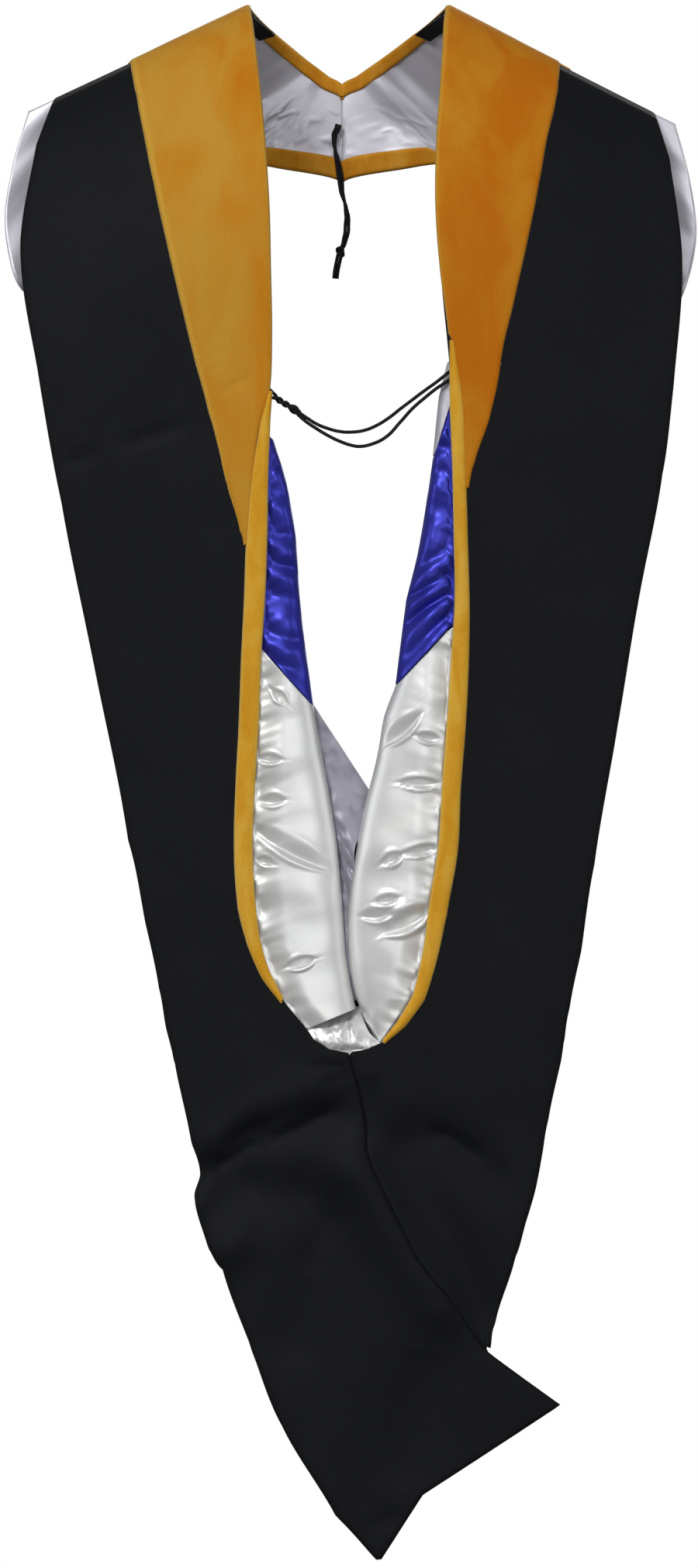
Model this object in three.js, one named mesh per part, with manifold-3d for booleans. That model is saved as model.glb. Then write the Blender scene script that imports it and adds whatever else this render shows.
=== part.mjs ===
// Academic hood, seen and worn from behind: a flat black bag of cloth that hangs down the back from the
// shoulders, with a velvet edge turned out round its opening, a satin lining rolled forward inside it,
// and a neckband that closes in front of the neck.
// Millimetres. +Z is up, +X is the wearer's right hand in the view from behind, -Y is the outside of the
// back. The origin lies midway between the two neck points, on top of the shoulders.
import * as THREE from 'three';
import { mergeVertices } from 'three/addons/utils/BufferGeometryUtils.js';
import Module from 'manifold-3d';

const wasm = await Module();
wasm.setup();

// Overall sizes
const hoodLength = 1067;                       // neck point to the tip of the tail, as it looks from behind
const shoulderHalf = 237;                      // centre to the widest point of the hood
const neckHalf = 68;                           // centre to a neck point
const shoulderDrop = { left: 79, right: 86 };  // fall of the shoulder line, neck point to widest point
const backDepth = 92;                          // shoulder line to the cloth on the back
const backRoll = 180;                          // height over which the cloth turns down over the shoulder
const rollFall = 6;                            // how much lower all of it hangs once it has turned down
const sideCurve = 30;                          // how far the outer edges come forward round the back
const velvetWidth = 80;                        // velvet edge where it crosses the shoulder line
const bindingWidth = 13;                       // velvet edge where it has narrowed
const bagDepth = 24;                           // near wall to far wall inside the bag
const foldRadius = 3.2;                        // turn of the cloth at the outer edge

// Front of the hood
const frontDepth = 100;                        // shoulder line to the middle of the neckband
const neckDrop = 50;                           // neck point to the top of the neckband in the middle
const frontShift = 4.5;                        // how far the middle of the neckband hangs to the left
const hemFall = 125;                           // shoulder line to the hem below it
const shoulderPuff = 18;                       // rise of the cloth over the shoulder
const armReach = { left: 1.008, right: 1.03 }; // how far the ends of the shoulders stand out, in shoulderHalf
const topStrip = 8.2;                          // velvet turned in along the top edge of the neckband
const hemStrip = 13.5;                         // velvet turned in along its lower edge
const liningInset = 2;                         // lining set back from the neck edge
const cornerWidth = 11.5;                        // plain black corner at each neck point

// Cloth
const shellThickness = 1.5;
const velvetThickness = 1.8;
const satinThickness = 1.2;
const clearance = 0.5;                         // between two layers
const velvetClearance = 0.75;                  // under the velvet, which lies looser
const seamGap = 0.4;                           // half of the gap between two pieces that meet edge to edge
const shoulderGap = 2.3;                       // between the front half and the back along the shoulder
const lobeDepth = 13;                          // how far a satin roll falls back towards the far wall
const lobeRoll = 4;                            // radius of its rolled edge

// Rows and columns of the front half, and places on them: along is 0 on the shoulder line and 1 in the
// middle of the chest, across is 0 at the neck edge and 1 at the hem
const frontRows = 12;
const frontSteps = 6;
const shellEnd = 0.985;                        // hem of the black cloth, across
const facingEnd = 0.54;                        // velvet edge at the shoulder, across
const facingFull = 0.8;                        // where the velvet reaches the hem, along
const stripStart = 0.46;                       // where the turned-in top strip starts, along
const hemStart = 7 / 12;                       // where the turned-in hem strip starts, along
const cornerStart = 1 / 12;
const cornerEnd = 0.45;
const puffDirection = new THREE.Vector3(0.45, 0.55, 0.7).normalize();
const puffLength = 0.8;                        // share of the front half that the puff takes, along
const centreLean = 0.1;                        // how much wider the middle gap gets per mm of depth

// Cords and button
const cordDiameter = 2.4;
const cordGap = 0.3;                           // between two strands that lie side by side
const knotLength = 11;
const knotWidth = 5.4;
const knotTilt = 36;                           // degrees that the knot of the tie cord leans to the right
const buttonDiameter = 12;
const buttonThickness = 2;
const shankDiameter = 4;
const shankLength = 3.4;
const shankSink = 0.4;                         // part of the shank inside the button
const frontKnotTilt = 66;                      // and that of the front cord
const ringDegrees = [100, 127, 153, 180, 207, 233, 260];  // round the button, from the way to the knot
const crossSteps = 17;                         // straight parts that each cord is drawn in
const loopSteps = 22;
const frontCordSteps = 12;
const tailSteps = 4;

// Distances of the layers from the middle of the near wall, positive towards the viewer
const velvetOut = shellThickness / 2 + velvetClearance + velvetThickness / 2;
const liningOut = -(shellThickness / 2 + clearance + satinThickness / 2);
const turnedOut = liningOut - satinThickness / 2 - velvetClearance - velvetThickness / 2;
const centreOut = -(bagDepth - shellThickness / 2 - 2 * clearance - satinThickness / 2);

// Near wall and far wall down to the foot of the opening.
// inner: edge of the opening, in neckHalf. outer: folded outer edge, and far: free edge of the far wall,
// in shoulderHalf. The At columns are distances below the shoulder line, in hoodLength. gap: in bagDepth.
const openingRows = {
  left: [
    { inner: 1.003, innerAt: 0.0000, outer: 0.868, outerAt: 0.0000, far: 0.830, farAt: 0.0040, gap: 0.27 },
    { inner: 0.948, innerAt: 0.0226, outer: 0.913, outerAt: 0.0226, far: 0.870, farAt: 0.0270, gap: 0.27 },
    { inner: 0.846, innerAt: 0.0843, outer: 0.956, outerAt: 0.0843, far: 0.908, farAt: 0.0890, gap: 0.27 },
    { inner: 0.787, innerAt: 0.1687, outer: 0.904, outerAt: 0.1687, far: 0.310, farAt: 0.2560, gap: 0.85 },
    { inner: 0.792, innerAt: 0.2597, outer: 0.834, outerAt: 0.2616, far: 0.205, farAt: 0.3180, gap: 1 },
    { inner: 0.854, innerAt: 0.3796, outer: 0.735, outerAt: 0.3813, far: 0.160, farAt: 0.3896, gap: 1 },
    { inner: 0.948, innerAt: 0.4995, outer: 0.639, outerAt: 0.5001, far: 0.043, farAt: 0.4870, gap: 1 },
    { inner: 0.964, innerAt: 0.5544, outer: 0.589, outerAt: 0.5582, far: -0.034, farAt: 0.5145, gap: 1 },
    { inner: 0.886, innerAt: 0.6044, outer: 0.549, outerAt: 0.6048, far: -0.038, farAt: 0.5694, gap: 1 },
    { inner: 0.682, innerAt: 0.6369, outer: 0.529, outerAt: 0.6319, far: -0.038, farAt: 0.6244, gap: 1 },
    { inner: 0.345, innerAt: 0.6653, outer: 0.506, outerAt: 0.6557, far: -0.034, farAt: 0.6593, gap: 1 },
    { inner: 0.190, innerAt: 0.6713, outer: 0.500, outerAt: 0.6617, far: -0.024, farAt: 0.6706, gap: 1 },
    { inner: 0.000, innerAt: 0.6733, outer: 0.495, outerAt: 0.6678, far: -0.013, farAt: 0.6818, gap: 1 },
  ],
  right: [
    { inner: 0.995, innerAt: 0.0000, outer: 0.904, outerAt: 0.0000, far: 0.866, farAt: 0.0040, gap: 0.27 },
    { inner: 0.964, innerAt: 0.0226, outer: 0.940, outerAt: 0.0226, far: 0.896, farAt: 0.0270, gap: 0.27 },
    { inner: 0.897, innerAt: 0.0843, outer: 0.974, outerAt: 0.0843, far: 0.926, farAt: 0.0890, gap: 0.27 },
    { inner: 0.933, innerAt: 0.1687, outer: 0.947, outerAt: 0.1687, far: 0.345, farAt: 0.2300, gap: 0.85 },
    { inner: 1.034, innerAt: 0.2400, outer: 0.914, outerAt: 0.2290, far: 0.290, farAt: 0.2850, gap: 1 },
    { inner: 1.074, innerAt: 0.3771, outer: 0.842, outerAt: 0.3221, far: 0.190, farAt: 0.3896, gap: 1 },
    { inner: 1.011, innerAt: 0.4592, outer: 0.783, outerAt: 0.4067, far: 0.120, farAt: 0.4745, gap: 1 },
    { inner: 0.893, innerAt: 0.5544, outer: 0.715, outerAt: 0.5041, far: 0.056, farAt: 0.5245, gap: 1 },
    { inner: 0.784, innerAt: 0.5994, outer: 0.677, outerAt: 0.5636, far: 0.052, farAt: 0.5844, gap: 1 },
    { inner: 0.635, innerAt: 0.6394, outer: 0.643, outerAt: 0.6045, far: 0.047, farAt: 0.6344, gap: 1 },
    { inner: 0.337, innerAt: 0.6673, outer: 0.628, outerAt: 0.6264, far: 0.038, farAt: 0.6693, gap: 1 },
    { inner: 0.180, innerAt: 0.6713, outer: 0.623, outerAt: 0.6332, far: 0.029, farAt: 0.6768, gap: 1 },
    { inner: 0.000, innerAt: 0.6733, outer: 0.619, outerAt: 0.6399, far: 0.020, farAt: 0.6843, gap: 1 },
  ],
};

// The tail below the opening. seam: line where the two panels meet, and outer: folded outer edge, both
// signed and in shoulderHalf. lift: rise of the bottom edge where it bends, in hoodLength.
const seamRows = [
  { seam: 0.000, seamAt: 0.6733 },
  { seam: 0.047, seamAt: 0.7168 },
  { seam: 0.056, seamAt: 0.7393 },
  { seam: 0.108, seamAt: 0.7667 },
  { seam: 0.161, seamAt: 0.7895 },
  { seam: 0.220, seamAt: 0.8127 },
  { seam: 0.351, seamAt: 0.8443 },
];
const bendPlace = 0.77;  // place of that bend along the bottom edge, from the seam to the outer edge
const tailRows = {
  left: [
    { outer: -0.495, outerAt: 0.6678, gap: 1, lift: 0 },
    { outer: -0.454, outerAt: 0.7145, gap: 0.92, lift: 0 },
    { outer: -0.430, outerAt: 0.7365, gap: 0.86, lift: 0 },
    { outer: -0.445, outerAt: 0.7504, gap: 0.86, lift: 0 },
    { outer: -0.405, outerAt: 0.7870, gap: 0.82, lift: 0 },
    { outer: -0.363, outerAt: 0.8053, gap: 0.78, lift: 0 },
    { outer: -0.277, outerAt: 0.8666, gap: 0.68, lift: 0 },
    { seam: 0.403, seamAt: 0.8532, outer: -0.190, outerAt: 0.9141, gap: 0.58, lift: 0.003 },
    { seam: 0.511, seamAt: 0.8590, outer: -0.034, outerAt: 0.9720, gap: 0.45, lift: 0.010 },
    { seam: 0.616, seamAt: 0.8640, outer: 0.083, outerAt: 1.0000, gap: 0.3, lift: 0.0185 },
  ],
  right: [
    { outer: 0.619, outerAt: 0.6399, gap: 1, lift: 0 },
    { outer: 0.580, outerAt: 0.6844, gap: 0.9, lift: 0 },
    { outer: 0.562, outerAt: 0.7090, gap: 0.8, lift: 0 },
    { outer: 0.542, outerAt: 0.7339, gap: 0.7, lift: 0 },
    { outer: 0.514, outerAt: 0.7580, gap: 0.62, lift: 0 },
    { outer: 0.484, outerAt: 0.7833, gap: 0.55, lift: 0 },
    { outer: 0.428, outerAt: 0.8330, gap: 0.35, lift: 0 },
    { seam: 0.404, seamAt: 0.8532, outer: 0.422, outerAt: 0.8450, gap: 0.28, lift: 0 },
  ],
};

// Folds in the near wall of the tail, as ridges (+) and hollows (-) along a straight line.
// x0, x1: ends, in shoulderHalf. at0, at1: ends, in hoodLength. rise and width: in bagDepth.
const folds = [
  { x0: -0.41, at0: 0.738, x1: -0.05, at1: 0.712, rise: -0.22, width: 0.75 },
  { x0: -0.38, at0: 0.722, x1: -0.10, at1: 0.700, rise: 0.14, width: 0.6 },
  { x0: -0.37, at0: 0.766, x1: -0.16, at1: 0.762, rise: -0.20, width: 0.9 },
  { x0: -0.42, at0: 0.757, x1: -0.34, at1: 0.792, rise: 0.20, width: 0.7 },
  { x0: 0.03, at0: 0.752, x1: 0.27, at1: 0.836, rise: 0.24, width: 0.8 },
  { x0: 0.14, at0: 0.742, x1: 0.38, at1: 0.828, rise: -0.16, width: 0.9 },
  { x0: -0.05, at0: 0.780, x1: -0.16, at1: 0.858, rise: -0.14, width: 0.9 },
  { x0: 0.21, at0: 0.727, x1: 0.40, at1: 0.738, rise: -0.14, width: 0.8 },
];

// Velvet wedge on each shoulder, down to the point where it narrows into the edge binding.
// inner: edge of the opening, in neckHalf. binding: how much of it the binding covers, in bindingWidth.
// width: from the edge of the opening, in velvetWidth. The first seven rows are those of the near wall.
const wedgeRows = {
  left: [
    { inner: 1.003, innerAt: 0.0000, binding: 0.00, width: 1.026, outerAt: 0.0000 },
    { inner: 0.975, innerAt: 0.0113, binding: 0.00, width: 1.023, outerAt: 0.0113 },
    { inner: 0.948, innerAt: 0.0226, binding: 0.00, width: 1.013, outerAt: 0.0226 },
    { inner: 0.893, innerAt: 0.0534, binding: 0.00, width: 0.986, outerAt: 0.0534 },
    { inner: 0.846, innerAt: 0.0843, binding: 0.00, width: 0.946, outerAt: 0.0843 },
    { inner: 0.803, innerAt: 0.1265, binding: 0.00, width: 0.870, outerAt: 0.1265 },
    { inner: 0.787, innerAt: 0.1687, binding: 0.00, width: 0.765, outerAt: 0.1687 },
    { inner: 0.776, innerAt: 0.2100, binding: 0.00, width: 0.653, outerAt: 0.2100 },
    { inner: 0.776, innerAt: 0.2470, binding: 0.12, width: 0.528, outerAt: 0.2500 },
    { inner: 0.803, innerAt: 0.2747, binding: 0.60, width: 0.425, outerAt: 0.2740 },
    { inner: 0.815, innerAt: 0.3000, binding: 0.78, width: 0.341, outerAt: 0.3000 },
    { inner: 0.822, innerAt: 0.3350, binding: 0.97, width: 0.220, outerAt: 0.3350 },
    { inner: 0.826, innerAt: 0.3450, binding: 1.01, width: 0.184, outerAt: 0.3450 },
  ],
  right: [
    { inner: 0.995, innerAt: 0.0000, binding: 0.00, width: 0.979, outerAt: 0.0000 },
    { inner: 0.976, innerAt: 0.0113, binding: 0.00, width: 0.978, outerAt: 0.0113 },
    { inner: 0.964, innerAt: 0.0226, binding: 0.00, width: 0.967, outerAt: 0.0226 },
    { inner: 0.933, innerAt: 0.0534, binding: 0.00, width: 0.907, outerAt: 0.0534 },
    { inner: 0.897, innerAt: 0.0843, binding: 0.00, width: 0.867, outerAt: 0.0843 },
    { inner: 0.886, innerAt: 0.1265, binding: 0.00, width: 0.773, outerAt: 0.1265 },
    { inner: 0.933, innerAt: 0.1687, binding: 0.00, width: 0.620, outerAt: 0.1687 },
    { inner: 1.019, innerAt: 0.2090, binding: 0.00, width: 0.440, outerAt: 0.2090 },
    { inner: 1.034, innerAt: 0.2130, binding: 0.18, width: 0.419, outerAt: 0.2130 },
    { inner: 1.034, innerAt: 0.2520, binding: 0.64, width: 0.321, outerAt: 0.2520 },
    { inner: 1.052, innerAt: 0.2850, binding: 0.65, width: 0.178, outerAt: 0.2850 },
    { inner: 1.061, innerAt: 0.3030, binding: 0.63, width: 0.120, outerAt: 0.3030 },
  ],
};

// Narrow velvet binding round the rest of the opening. inner: in neckHalf. width: in bindingWidth.
const bindingRows = {
  left: [
    { inner: 0.776, innerAt: 0.2470, width: 0.10, outerAt: 0.2480 },
    { inner: 0.795, innerAt: 0.2650, width: 0.43, outerAt: 0.2670 },
    { inner: 0.815, innerAt: 0.3000, width: 0.78, outerAt: 0.3010 },
    { inner: 0.823, innerAt: 0.3397, width: 1.03, outerAt: 0.3407 },
    { inner: 0.846, innerAt: 0.3796, width: 1.03, outerAt: 0.3786 },
    { inner: 0.886, innerAt: 0.4196, width: 0.98, outerAt: 0.4190 },
    { inner: 0.909, innerAt: 0.4595, width: 0.98, outerAt: 0.4585 },
    { inner: 0.948, innerAt: 0.4995, width: 0.95, outerAt: 0.4985 },
    { inner: 0.972, innerAt: 0.5395, width: 0.90, outerAt: 0.5395 },
    { inner: 0.948, innerAt: 0.5744, width: 0.82, outerAt: 0.5774 },
    { inner: 0.901, innerAt: 0.5994, width: 0.53, outerAt: 0.6054 },
    { inner: 0.815, innerAt: 0.6194, width: 0.25, outerAt: 0.6254 },
    { inner: 0.666, innerAt: 0.6384, width: 0.13, outerAt: 0.6414 },
  ],
  right: [
    { inner: 1.034, innerAt: 0.2130, width: 0.13, outerAt: 0.2130 },
    { inner: 1.034, innerAt: 0.2547, width: 0.62, outerAt: 0.2520 },
    { inner: 1.058, innerAt: 0.2947, width: 0.62, outerAt: 0.2930 },
    { inner: 1.074, innerAt: 0.3397, width: 0.65, outerAt: 0.3390 },
    { inner: 1.082, innerAt: 0.3796, width: 0.70, outerAt: 0.3786 },
    { inner: 1.042, innerAt: 0.4196, width: 0.86, outerAt: 0.4186 },
    { inner: 1.003, innerAt: 0.4595, width: 0.90, outerAt: 0.4585 },
    { inner: 0.956, innerAt: 0.4995, width: 0.90, outerAt: 0.4985 },
    { inner: 0.917, innerAt: 0.5395, width: 0.94, outerAt: 0.5405 },
    { inner: 0.823, innerAt: 0.5794, width: 0.86, outerAt: 0.5844 },
    { inner: 0.768, innerAt: 0.6054, width: 0.65, outerAt: 0.6119 },
    { inner: 0.666, innerAt: 0.6354, width: 0.49, outerAt: 0.6394 },
    { inner: 0.517, innerAt: 0.6523, width: 0.25, outerAt: 0.6563 },
    { inner: 0.353, innerAt: 0.6658, width: 0.08, outerAt: 0.6673 },
  ],
};

// Satin rolls inside the opening, from the hidden edge behind the near wall to the rolled edge.
// edge and roll: in neckHalf. The At columns: in hoodLength.
const satinRows = {
  lining_upper_right: [
    { edge: 1.277, edgeAt: 0.2058, roll: 1.027, rollAt: 0.2274 },
    { edge: 1.254, edgeAt: 0.2096, roll: 0.940, rollAt: 0.2507 },
    { edge: 1.230, edgeAt: 0.2134, roll: 0.878, rollAt: 0.2886 },
  ],
  lining_blue_left: [
    { edge: 0.995, edgeAt: 0.2647, roll: 0.776, rollAt: 0.2782 },
    { edge: 1.027, edgeAt: 0.2989, roll: 0.643, rollAt: 0.3057 },
    { edge: 1.042, edgeAt: 0.3334, roll: 0.549, rollAt: 0.3397 },
    { edge: 1.058, edgeAt: 0.3679, roll: 0.494, rollAt: 0.3871 },
    { edge: 1.066, edgeAt: 0.3986, roll: 0.368, rollAt: 0.4491 },
  ],
  lining_blue_right: [
    { edge: 1.230, edgeAt: 0.2154, roll: 0.878, rollAt: 0.2902 },
    { edge: 1.254, edgeAt: 0.2661, roll: 0.815, rollAt: 0.3172 },
    { edge: 1.270, edgeAt: 0.3055, roll: 0.721, rollAt: 0.3521 },
    { edge: 1.270, edgeAt: 0.3455, roll: 0.603, rollAt: 0.3821 },
    { edge: 1.262, edgeAt: 0.3822, roll: 0.494, rollAt: 0.4361 },
  ],
  lining_white_left: [
    { edge: 1.066, edgeAt: 0.3996, roll: 0.368, rollAt: 0.4501 },
    { edge: 1.121, edgeAt: 0.4410, roll: 0.298, rollAt: 0.4745 },
    { edge: 1.160, edgeAt: 0.4898, roll: 0.212, rollAt: 0.5045 },
    { edge: 1.176, edgeAt: 0.5293, roll: 0.125, rollAt: 0.5395 },
    { edge: 1.144, edgeAt: 0.5702, roll: 0.071, rollAt: 0.5794 },
    { edge: 1.027, edgeAt: 0.6111, roll: 0.031, rollAt: 0.6119 },
    { edge: 0.760, edgeAt: 0.6444, roll: -0.024, rollAt: 0.6319 },
    { edge: 0.478, edgeAt: 0.6598, roll: -0.071, rollAt: 0.6454 },
  ],
  lining_white_right: [
    { edge: 1.262, edgeAt: 0.3832, roll: 0.494, rollAt: 0.4371 },
    { edge: 1.238, edgeAt: 0.4264, roll: 0.376, rollAt: 0.4570 },
    { edge: 1.199, edgeAt: 0.4677, roll: 0.306, rollAt: 0.4820 },
    { edge: 1.144, edgeAt: 0.5146, roll: 0.180, rollAt: 0.5145 },
    { edge: 1.082, edgeAt: 0.5517, roll: 0.078, rollAt: 0.5495 },
    { edge: 0.995, edgeAt: 0.5894, roll: 0.008, rollAt: 0.5844 },
    { edge: 0.917, edgeAt: 0.6144, roll: 0.016, rollAt: 0.6144 },
    { edge: 0.807, edgeAt: 0.6394, roll: 0.078, rollAt: 0.6359 },
    { edge: 0.596, edgeAt: 0.6593, roll: 0.180, rollAt: 0.6533 },
    { edge: 0.400, edgeAt: 0.6693, roll: 0.274, rollAt: 0.6648 },
  ],
};

// Deeper satin between the two rolls, and the tuck under them at the foot of the opening.
// from, to: signed ends, in neckHalf. fromOut, toOut: their distances behind the near wall, in bagDepth.
const centreRows = [
  { from: -0.392, fromAt: 0.4461, to: 0.274, toAt: 0.5095 },
  { from: -0.353, fromAt: 0.4745, to: 0.321, toAt: 0.5245 },
  { from: -0.259, fromAt: 0.5095, to: 0.274, toAt: 0.5395 },
  { from: -0.165, fromAt: 0.5445, to: 0.196, toAt: 0.5594 },
  { from: -0.118, fromAt: 0.5844, to: 0.149, toAt: 0.5894 },
  { from: -0.100, fromAt: 0.6150, to: 0.120, toAt: 0.6180 },
  { from: -0.100, fromAt: 0.6390, to: 0.120, toAt: 0.6400 },
];
const tuckRows = [
  { from: -0.384, fromAt: 0.6563, to: 0.112, toAt: 0.6449, fromOut: 0.170, toOut: 0.880 },
  { from: -0.451, fromAt: 0.6633, to: 0.160, toAt: 0.6534, fromOut: 0.150, toOut: 0.500 },
  { from: -0.415, fromAt: 0.6678, to: 0.225, toAt: 0.6618, fromOut: 0.120, toOut: 0.270 },
  { from: -0.368, fromAt: 0.6713, to: 0.262, toAt: 0.6680, fromOut: 0.090, toOut: 0.120 },
  { from: -0.384, fromAt: 0.6803, to: 0.300, toAt: 0.6763, fromOut: 0.077, toOut: 0.077 },
];

// Hem of the front half, from the end of the shoulder line round the arm to the middle of the chest.
// x: in shoulderHalf. y: in frontDepth. below: distance below the shoulder line, in hemFall.
const hemRows = [
  { x: 0.930, y: 0.03, below: 0 },
  { x: 0.975, y: -0.02, below: 0.26 },
  { x: 0.995, y: -0.10, below: 0.57 },
  { x: 0.955, y: -0.20, below: 0.95 },
  { x: 0.900, y: 0.20, below: 0.98 },
  { x: 0.740, y: 0.60, below: 0.90 },
  { x: 0.490, y: 0.86, below: 0.82 },
  { x: 0.240, y: 0.96, below: 0.83 },
  { x: 0.000, y: 1.00, below: 0.94 },
];

// Button on the back of the left edge, which the loop of the tie cord goes round.
// x: in neckHalf. at: in hoodLength.
const crossButton = { x: -0.885, at: 0.2461 };

// Routes of the cords, in mm: x, distance behind the near wall or y, z.
const crossCordRoutes = {
  cross_cord_upper: [
    [72.5, -2.3, -247.9], [69.3, -3.6, -250.5], [60.8, -5, -257.3], [52.7, -5.5, -263.1],
    [44.3, -5.5, -269.4], [36.1, -5.5, -275.6], [27.7, -5.5, -282.1], [19.5, -5.5, -287.1],
    [11.2, -5.5, -290.4], [2.9, -5.5, -291.6], [-5.4, -5.5, -291.3], [-13.7, -5.5, -289.3],
    [-22, -5.5, -286], [-31.5, -5.5, -279.6],
  ],
  cross_cord_lower: [
    [72.5, -2.2, -253.6], [69.3, -3.2, -256], [60.8, -5, -261.7], [52.8, -5.5, -268.1],
    [44.2, -5.5, -275.6], [36.1, -5.5, -284.6], [26.1, -5.5, -295], [16.2, -5.5, -299.9],
    [7.9, -5.5, -301.5], [2.9, -5.5, -300.9], [-5.3, -5.5, -298.2], [-13.7, -5.5, -294.2],
    [-23.2, -5.5, -288.8], [-33.1, -5.5, -281.8],
  ],
};
const crossKnot = [-36.8, -5.5, -276.5];
const crossLoop = [[-39.9, -5.5, -274.2], [-45.3, -5.5, -271.4], [-51.2, -3.3, -267]];
const frontCordRoute = [
  [-7.2, -76.8], [-9.6, -82.6], [-9.9, -88.8], [-8.9, -96], [-7.2, -103.6], [-5.6, -113.6],
  [-4.5, -123.7], [-2, -132.8], [-0.7, -141.2], [-1.2, -152], [-3.4, -160.6],
];
const frontCordTail = [[-5.5, -165.2], [-7.6, -174.6], [-9, -184.3]];
const strandPitch = cordDiameter + cordGap;

const cloth = {
  black: { color: 0x1b1c20, roughness: 0.85 },
  gold: { color: 0xbf8420, roughness: 0.9 },
  blue: { color: 0x2b2a8e, roughness: 0.35 },
  white: { color: 0xd9dbd8, roughness: 0.35 },
  cord: { color: 0x0d0d0f, roughness: 0.7 },
};

const hood = new THREE.Group();

function addMesh(name, geometry, finish) {
  const mesh = new THREE.Mesh(geometry, new THREE.MeshStandardMaterial({ metalness: 0, ...cloth[finish] }));
  mesh.name = name;
  hood.add(mesh);
}

const mix = THREE.MathUtils.lerp;
const signOf = (side) => (side === 'left' ? -1 : 1);

// Smooth curve through one column of a table, at a place counted in rows
function column(rows, key, place) {
  const i = Math.min(Math.floor(place), rows.length - 2);
  const t = place - i;
  if (key.endsWith('At')) return mix(rows[i][key], rows[i + 1][key], t);
  const b = rows[i][key];
  const c = rows[i + 1][key];
  const a = i > 0 ? rows[i - 1][key] : 2 * b - c;
  const d = i + 2 < rows.length ? rows[i + 2][key] : 2 * c - b;
  const slopeIn = (c - a) / 2;
  const slopeOut = (d - b) / 2;
  const t2 = t * t;
  const t3 = t2 * t;
  const share = 3 * t2 - 2 * t3;
  return mix(b, c, share) + slopeIn * (t3 - 2 * t2 + t) + slopeOut * (t3 - t2);
}

// Closed solid of a cloth laid on a grid of points, half of its thickness to each side
function clothSolid(grid, thickness) {
  const rows = grid.length;
  const columns = grid[0].length;
  const along = new THREE.Vector3();
  const across = new THREE.Vector3();
  const positions = [];
  for (const side of [1, -1]) {
    for (let i = 0; i < rows; i += 1) {
      for (let j = 0; j < columns; j += 1) {
        along.subVectors(grid[Math.min(i + 1, rows - 1)][j], grid[Math.max(i - 1, 0)][j]);
        across.subVectors(grid[i][Math.min(j + 1, columns - 1)], grid[i][Math.max(j - 1, 0)]);
        const normal = along.clone().cross(across).normalize();
        const point = grid[i][j].clone().addScaledVector(normal, side * thickness / 2);
        positions.push(point.x, point.y, point.z);
      }
    }
  }
  const under = rows * columns;
  const index = [];
  const quad = (a, b, c, d) => index.push(a, b, c, a, c, d);
  for (let i = 0; i < rows - 1; i += 1) {
    for (let j = 0; j < columns - 1; j += 1) {
      const a = i * columns + j;
      quad(a, a + columns, a + columns + 1, a + 1);
      quad(under + a, under + a + 1, under + a + columns + 1, under + a + columns);
    }
  }
  for (let j = 0; j < columns - 1; j += 1) {
    const last = (rows - 1) * columns + j;
    quad(j, j + 1, under + j + 1, under + j);
    quad(last + 1, last, under + last, under + last + 1);
  }
  for (let i = 0; i < rows - 1; i += 1) {
    const first = i * columns;
    const last = first + columns - 1;
    quad(first + columns, first, under + first, under + first + columns);
    quad(last, last + columns, under + last + columns, under + last);
  }
  const geometry = new THREE.BufferGeometry();
  geometry.setAttribute('position', new THREE.Float32BufferAttribute(positions, 3));
  geometry.setIndex(signedVolume(positions, index) > 0 ? index : index.reverse());
  return geometry;
}

function signedVolume(positions, index) {
  const corner = (k) => new THREE.Vector3().fromArray(positions, 3 * index[k]);
  let volume = 0;
  for (let k = 0; k < index.length; k += 3) {
    volume += corner(k).dot(corner(k + 1).cross(corner(k + 2)));
  }
  return volume;
}

function addCloth(name, grid, thickness, finish) {
  addMesh(name, clothSolid(grid, thickness), finish);
}

// Height of the shoulder line over a place
function shoulderLine(x) {
  const drop = x < 0 ? shoulderDrop.left : shoulderDrop.right;
  return -drop * Math.max(Math.abs(x) - neckHalf, 0) / (shoulderHalf - neckHalf);
}

// How far the folds lift the near wall at a place
function foldRise(x, down) {
  let rise = 0;
  for (const fold of folds) {
    const x0 = fold.x0 * shoulderHalf;
    const y0 = fold.at0 * hoodLength;
    const runX = fold.x1 * shoulderHalf - x0;
    const runY = fold.at1 * hoodLength - y0;
    const run = Math.hypot(runX, runY);
    const t = THREE.MathUtils.clamp(((x - x0) * runX + (down - y0) * runY) / run ** 2, 0, 1);
    const away = Math.hypot(x - x0 - t * runX, down - y0 - t * runY) / (fold.width * bagDepth);
    rise += fold.rise * bagDepth * Math.exp(-away * away);
  }
  return rise;
}

function backSurface(x, down) {
  const turn = Math.min(Math.max(down, 0) / backRoll, 1);
  const bow = Math.sqrt(1 - (1 - turn) ** 2);
  const depth = backDepth - sideCurve * (x / shoulderHalf) ** 2;
  return new THREE.Vector3(x, -depth * bow - foldRise(x, down), shoulderLine(x) - down - rollFall * bow);
}

// Point over the back: x, distance below the shoulder line, distance out from the middle of the near wall
function backPoint(x, at, out = 0) {
  const down = at * hoodLength;
  const step = 1;
  const point = backSurface(x, down);
  if (out === 0) return point;
  const across = backSurface(x + step, down).sub(backSurface(x - step, down));
  const along = backSurface(x, down + step).sub(backSurface(x, Math.max(down - step, 0)));
  return point.addScaledVector(along.cross(across).normalize(), out);
}

const bendShare = (u) => Math.min(u / bendPlace, (1 - u) / (1 - bendPlace));

// Distance below the shoulder line, in hoodLength, of a place on the straight line between two others
function atBetween(from, to, x, u) {
  const start = shoulderLine(from.x) - from.at * hoodLength;
  const end = shoulderLine(to.x) - to.at * hoodLength;
  return (shoulderLine(x) - mix(start, end, u)) / hoodLength;
}

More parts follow.
